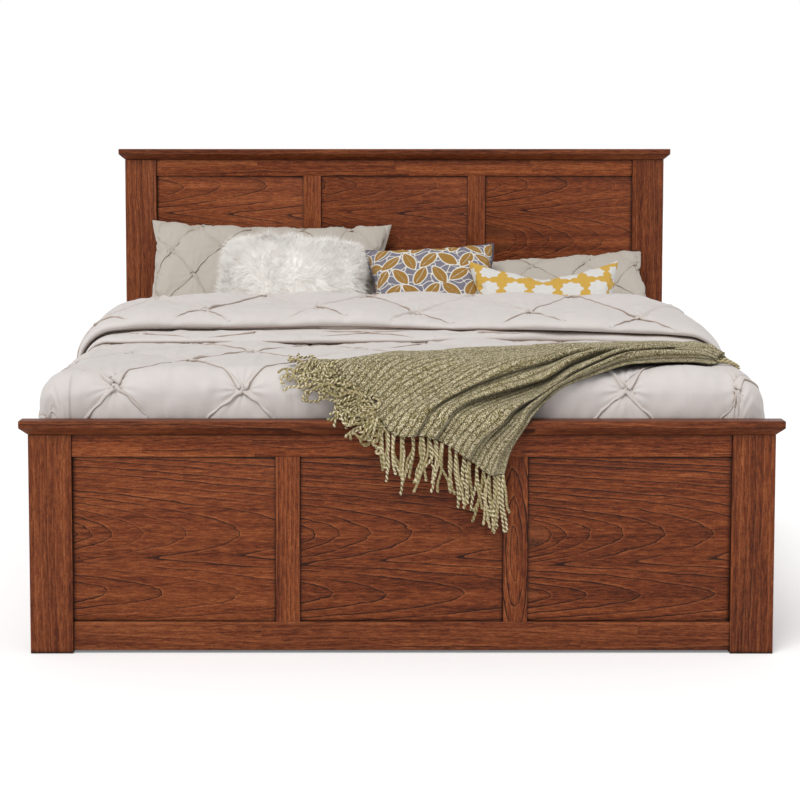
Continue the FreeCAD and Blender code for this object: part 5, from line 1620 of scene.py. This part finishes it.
# %% [markdown]
# Yarn ends are knotted into a fringe at both ends of the throw. Each tassel is one paler and one darker yarn
# wound round each other. A tassel's path is drawn on the same cloth coordinates as the throw: some lie on the
# duvet in curls, some hang straight down the foot board, and short ones hang at the far end.

# %% Fringe


def twisted_pairs(centres, normal, radius, pitch, sides):
    """Two yarns wound round each centre line: each is a tube whose own centre circles the line, half a turn
    apart, one turn per pitch metres; both close to a blunt tip."""
    count, steps = centres.shape[:2]
    ahead = unit(np.gradient(centres, axis=1), 1e-9)
    side = unit(np.cross(ahead, normal), 1e-9)
    third = np.cross(side, ahead)
    run = np.cumsum(np.linalg.norm(np.diff(centres, axis=1, prepend=centres[:, :1]), axis=-1), axis=1)
    wind = (2 * np.pi * run / pitch + dice.uniform(0, 6.28, (count, 1)))[..., None]
    swell = np.ones(steps)
    swell[-4:] = (1.25, 1.35, 1.0, 0.35)
    circle = np.arange(sides) * 2 * np.pi / sides
    ring = np.cos(circle)[:, None] * side[:, :, None] + np.sin(circle)[:, None] * third[:, :, None]
    tubes = []
    for start in (0, np.pi):
        core = centres + 0.75 * radius * (np.cos(wind + start) * side + np.sin(wind + start) * third)
        tubes.append(core[:, :, None] + ring * (radius * swell)[None, :, None, None])
    points = np.concatenate(tubes)
    number = np.arange(points[..., 0].size).reshape(2 * count, steps, sides)
    number = np.concatenate([number, number[:, :, :1]], 2)
    faces = np.stack([number[:, :-1, :-1], number[:, :-1, 1:], number[:, 1:, 1:], number[:, 1:, :-1]], -1)
    caps = np.concatenate([number[:, 0, :-1][:, ::-1], number[:, -1, :-1]])
    return points.reshape(-1, 3), [faces.reshape(-1, 4), caps]


def yarn_finish():
    """Spun yarn: pale or dark by a number on the mesh, with fine slanted fibres."""
    material, tree = new_finish("fringe_yarn")
    pale = node(tree, "ShaderNodeAttribute", attribute_name="pale", out=2)
    place = node(tree, "ShaderNodeTexCoord", out=3)
    fibre = noise(tree, scaled(tree, place, (500, 500, 260)), 1.0, 3.0, 0.6)
    tone = math_node(tree, "MULTIPLY_ADD", fibre, 0.5, math_node(tree, "SUBTRACT", pale, 0.25))
    colour = heather(tree, tone)
    surface(tree, colour, math_node(tree, "MULTIPLY_ADD", fibre, 0.15, 0.75), fibre, 0.0008,
            Specular_IOR_Level=0.15, Sheen_Weight=0.15)
    return material


# %% Tassels
hanging_count, lying_count, far_count, steps = 57, 104, 36, 58
yarn_radius, yarn_turn, yarn_sides = 0.0024, 0.013, 4
bunched = np.linspace(0.375, 0.992, hanging_count // 3)[np.arange(hanging_count) // 3]
root_share = np.concatenate([bunched, np.linspace(0.005, 0.40, lying_count)])
root_share = np.clip(root_share + dice.normal(0, 0.0045, len(root_share)), 0.002, 0.998)
lies = np.arange(len(root_share)) >= hanging_count
roots = through(fringe_line, root_share)
far_share = np.repeat(np.linspace(0.02, 0.98, far_count // 3), 3) + dice.normal(0, 0.006, far_count)
roots = np.concatenate([roots, through(end_line, np.clip(far_share, 0.002, 0.998))])
root_share = np.concatenate([root_share, far_share])
lies = np.concatenate([lies, np.zeros(far_count, bool)])
total = len(lies)
far = np.arange(total) >= hanging_count + lying_count
t = np.linspace(0, 1, steps)[None]
heading = np.where(lies, np.radians(208) + dice.normal(0, 0.5, total),
                   np.radians(270) + dice.normal(0, 0.05, total))
heading = np.where(far, dice.normal(-0.08, 0.12, total), heading)
length = np.where(lies, dice.uniform(0.09, 0.15, total), dice.uniform(0.105, 0.160, total))
length = np.where(far, dice.uniform(0.040, 0.065, total), length)
swing = np.where(lies, 1.0, 0.17)[:, None, None] * dice.normal(0, 1, (total, 3, 1))
swing = (swing[:, 0] * np.sin(2.5 * t) * 0.9 + swing[:, 1] * np.sin(6.0 * t + 1) * 1.1
         + swing[:, 2] * np.sin(11 * t) * 0.8)
curl = np.where(lies, dice.normal(0, 3.4, total), dice.normal(0, 0.25, total))[:, None]
heading = heading[:, None] + swing * t ** 0.4 + curl * t ** 1.6
stride = length[:, None] / (steps - 1)
line_p = roots[:, :1] + np.cumsum(np.cos(heading) * stride, axis=1)
line_q = roots[:, 1:] + np.cumsum(np.sin(heading) * stride, axis=1)
centres, normal = lay(line_p, line_q)
stack = np.where(lies, dice.uniform(0.004, 0.024, total), dice.uniform(0.004, 0.008, total))[:, None]
hump = 0.006 + stack * (0.6 + 0.4 * np.sin(7 * t + 6.28 * root_share[:, None] * 31)) * (1 - 0.4 * t)
hump = np.where(far[:, None], -0.006, hump)
centres = centres + normal * hump[..., None]
yarn_points, yarn_faces = twisted_pairs(centres, normal, yarn_radius, yarn_turn, yarn_sides)
pale = np.concatenate([dice.uniform(0.62, 0.98, total), dice.uniform(0.22, 0.66, total)])
fringe = build_mesh("throw_fringe", yarn_points, yarn_faces, yarn_finish(),
                    pale=np.repeat(pale, steps * yarn_sides))
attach(throw, "bed")
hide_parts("throw")
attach(fringe, "bed")
print("fringe:", len(roots), "tassels, lowest", round(float(yarn_points[:, 2].min()), 3))
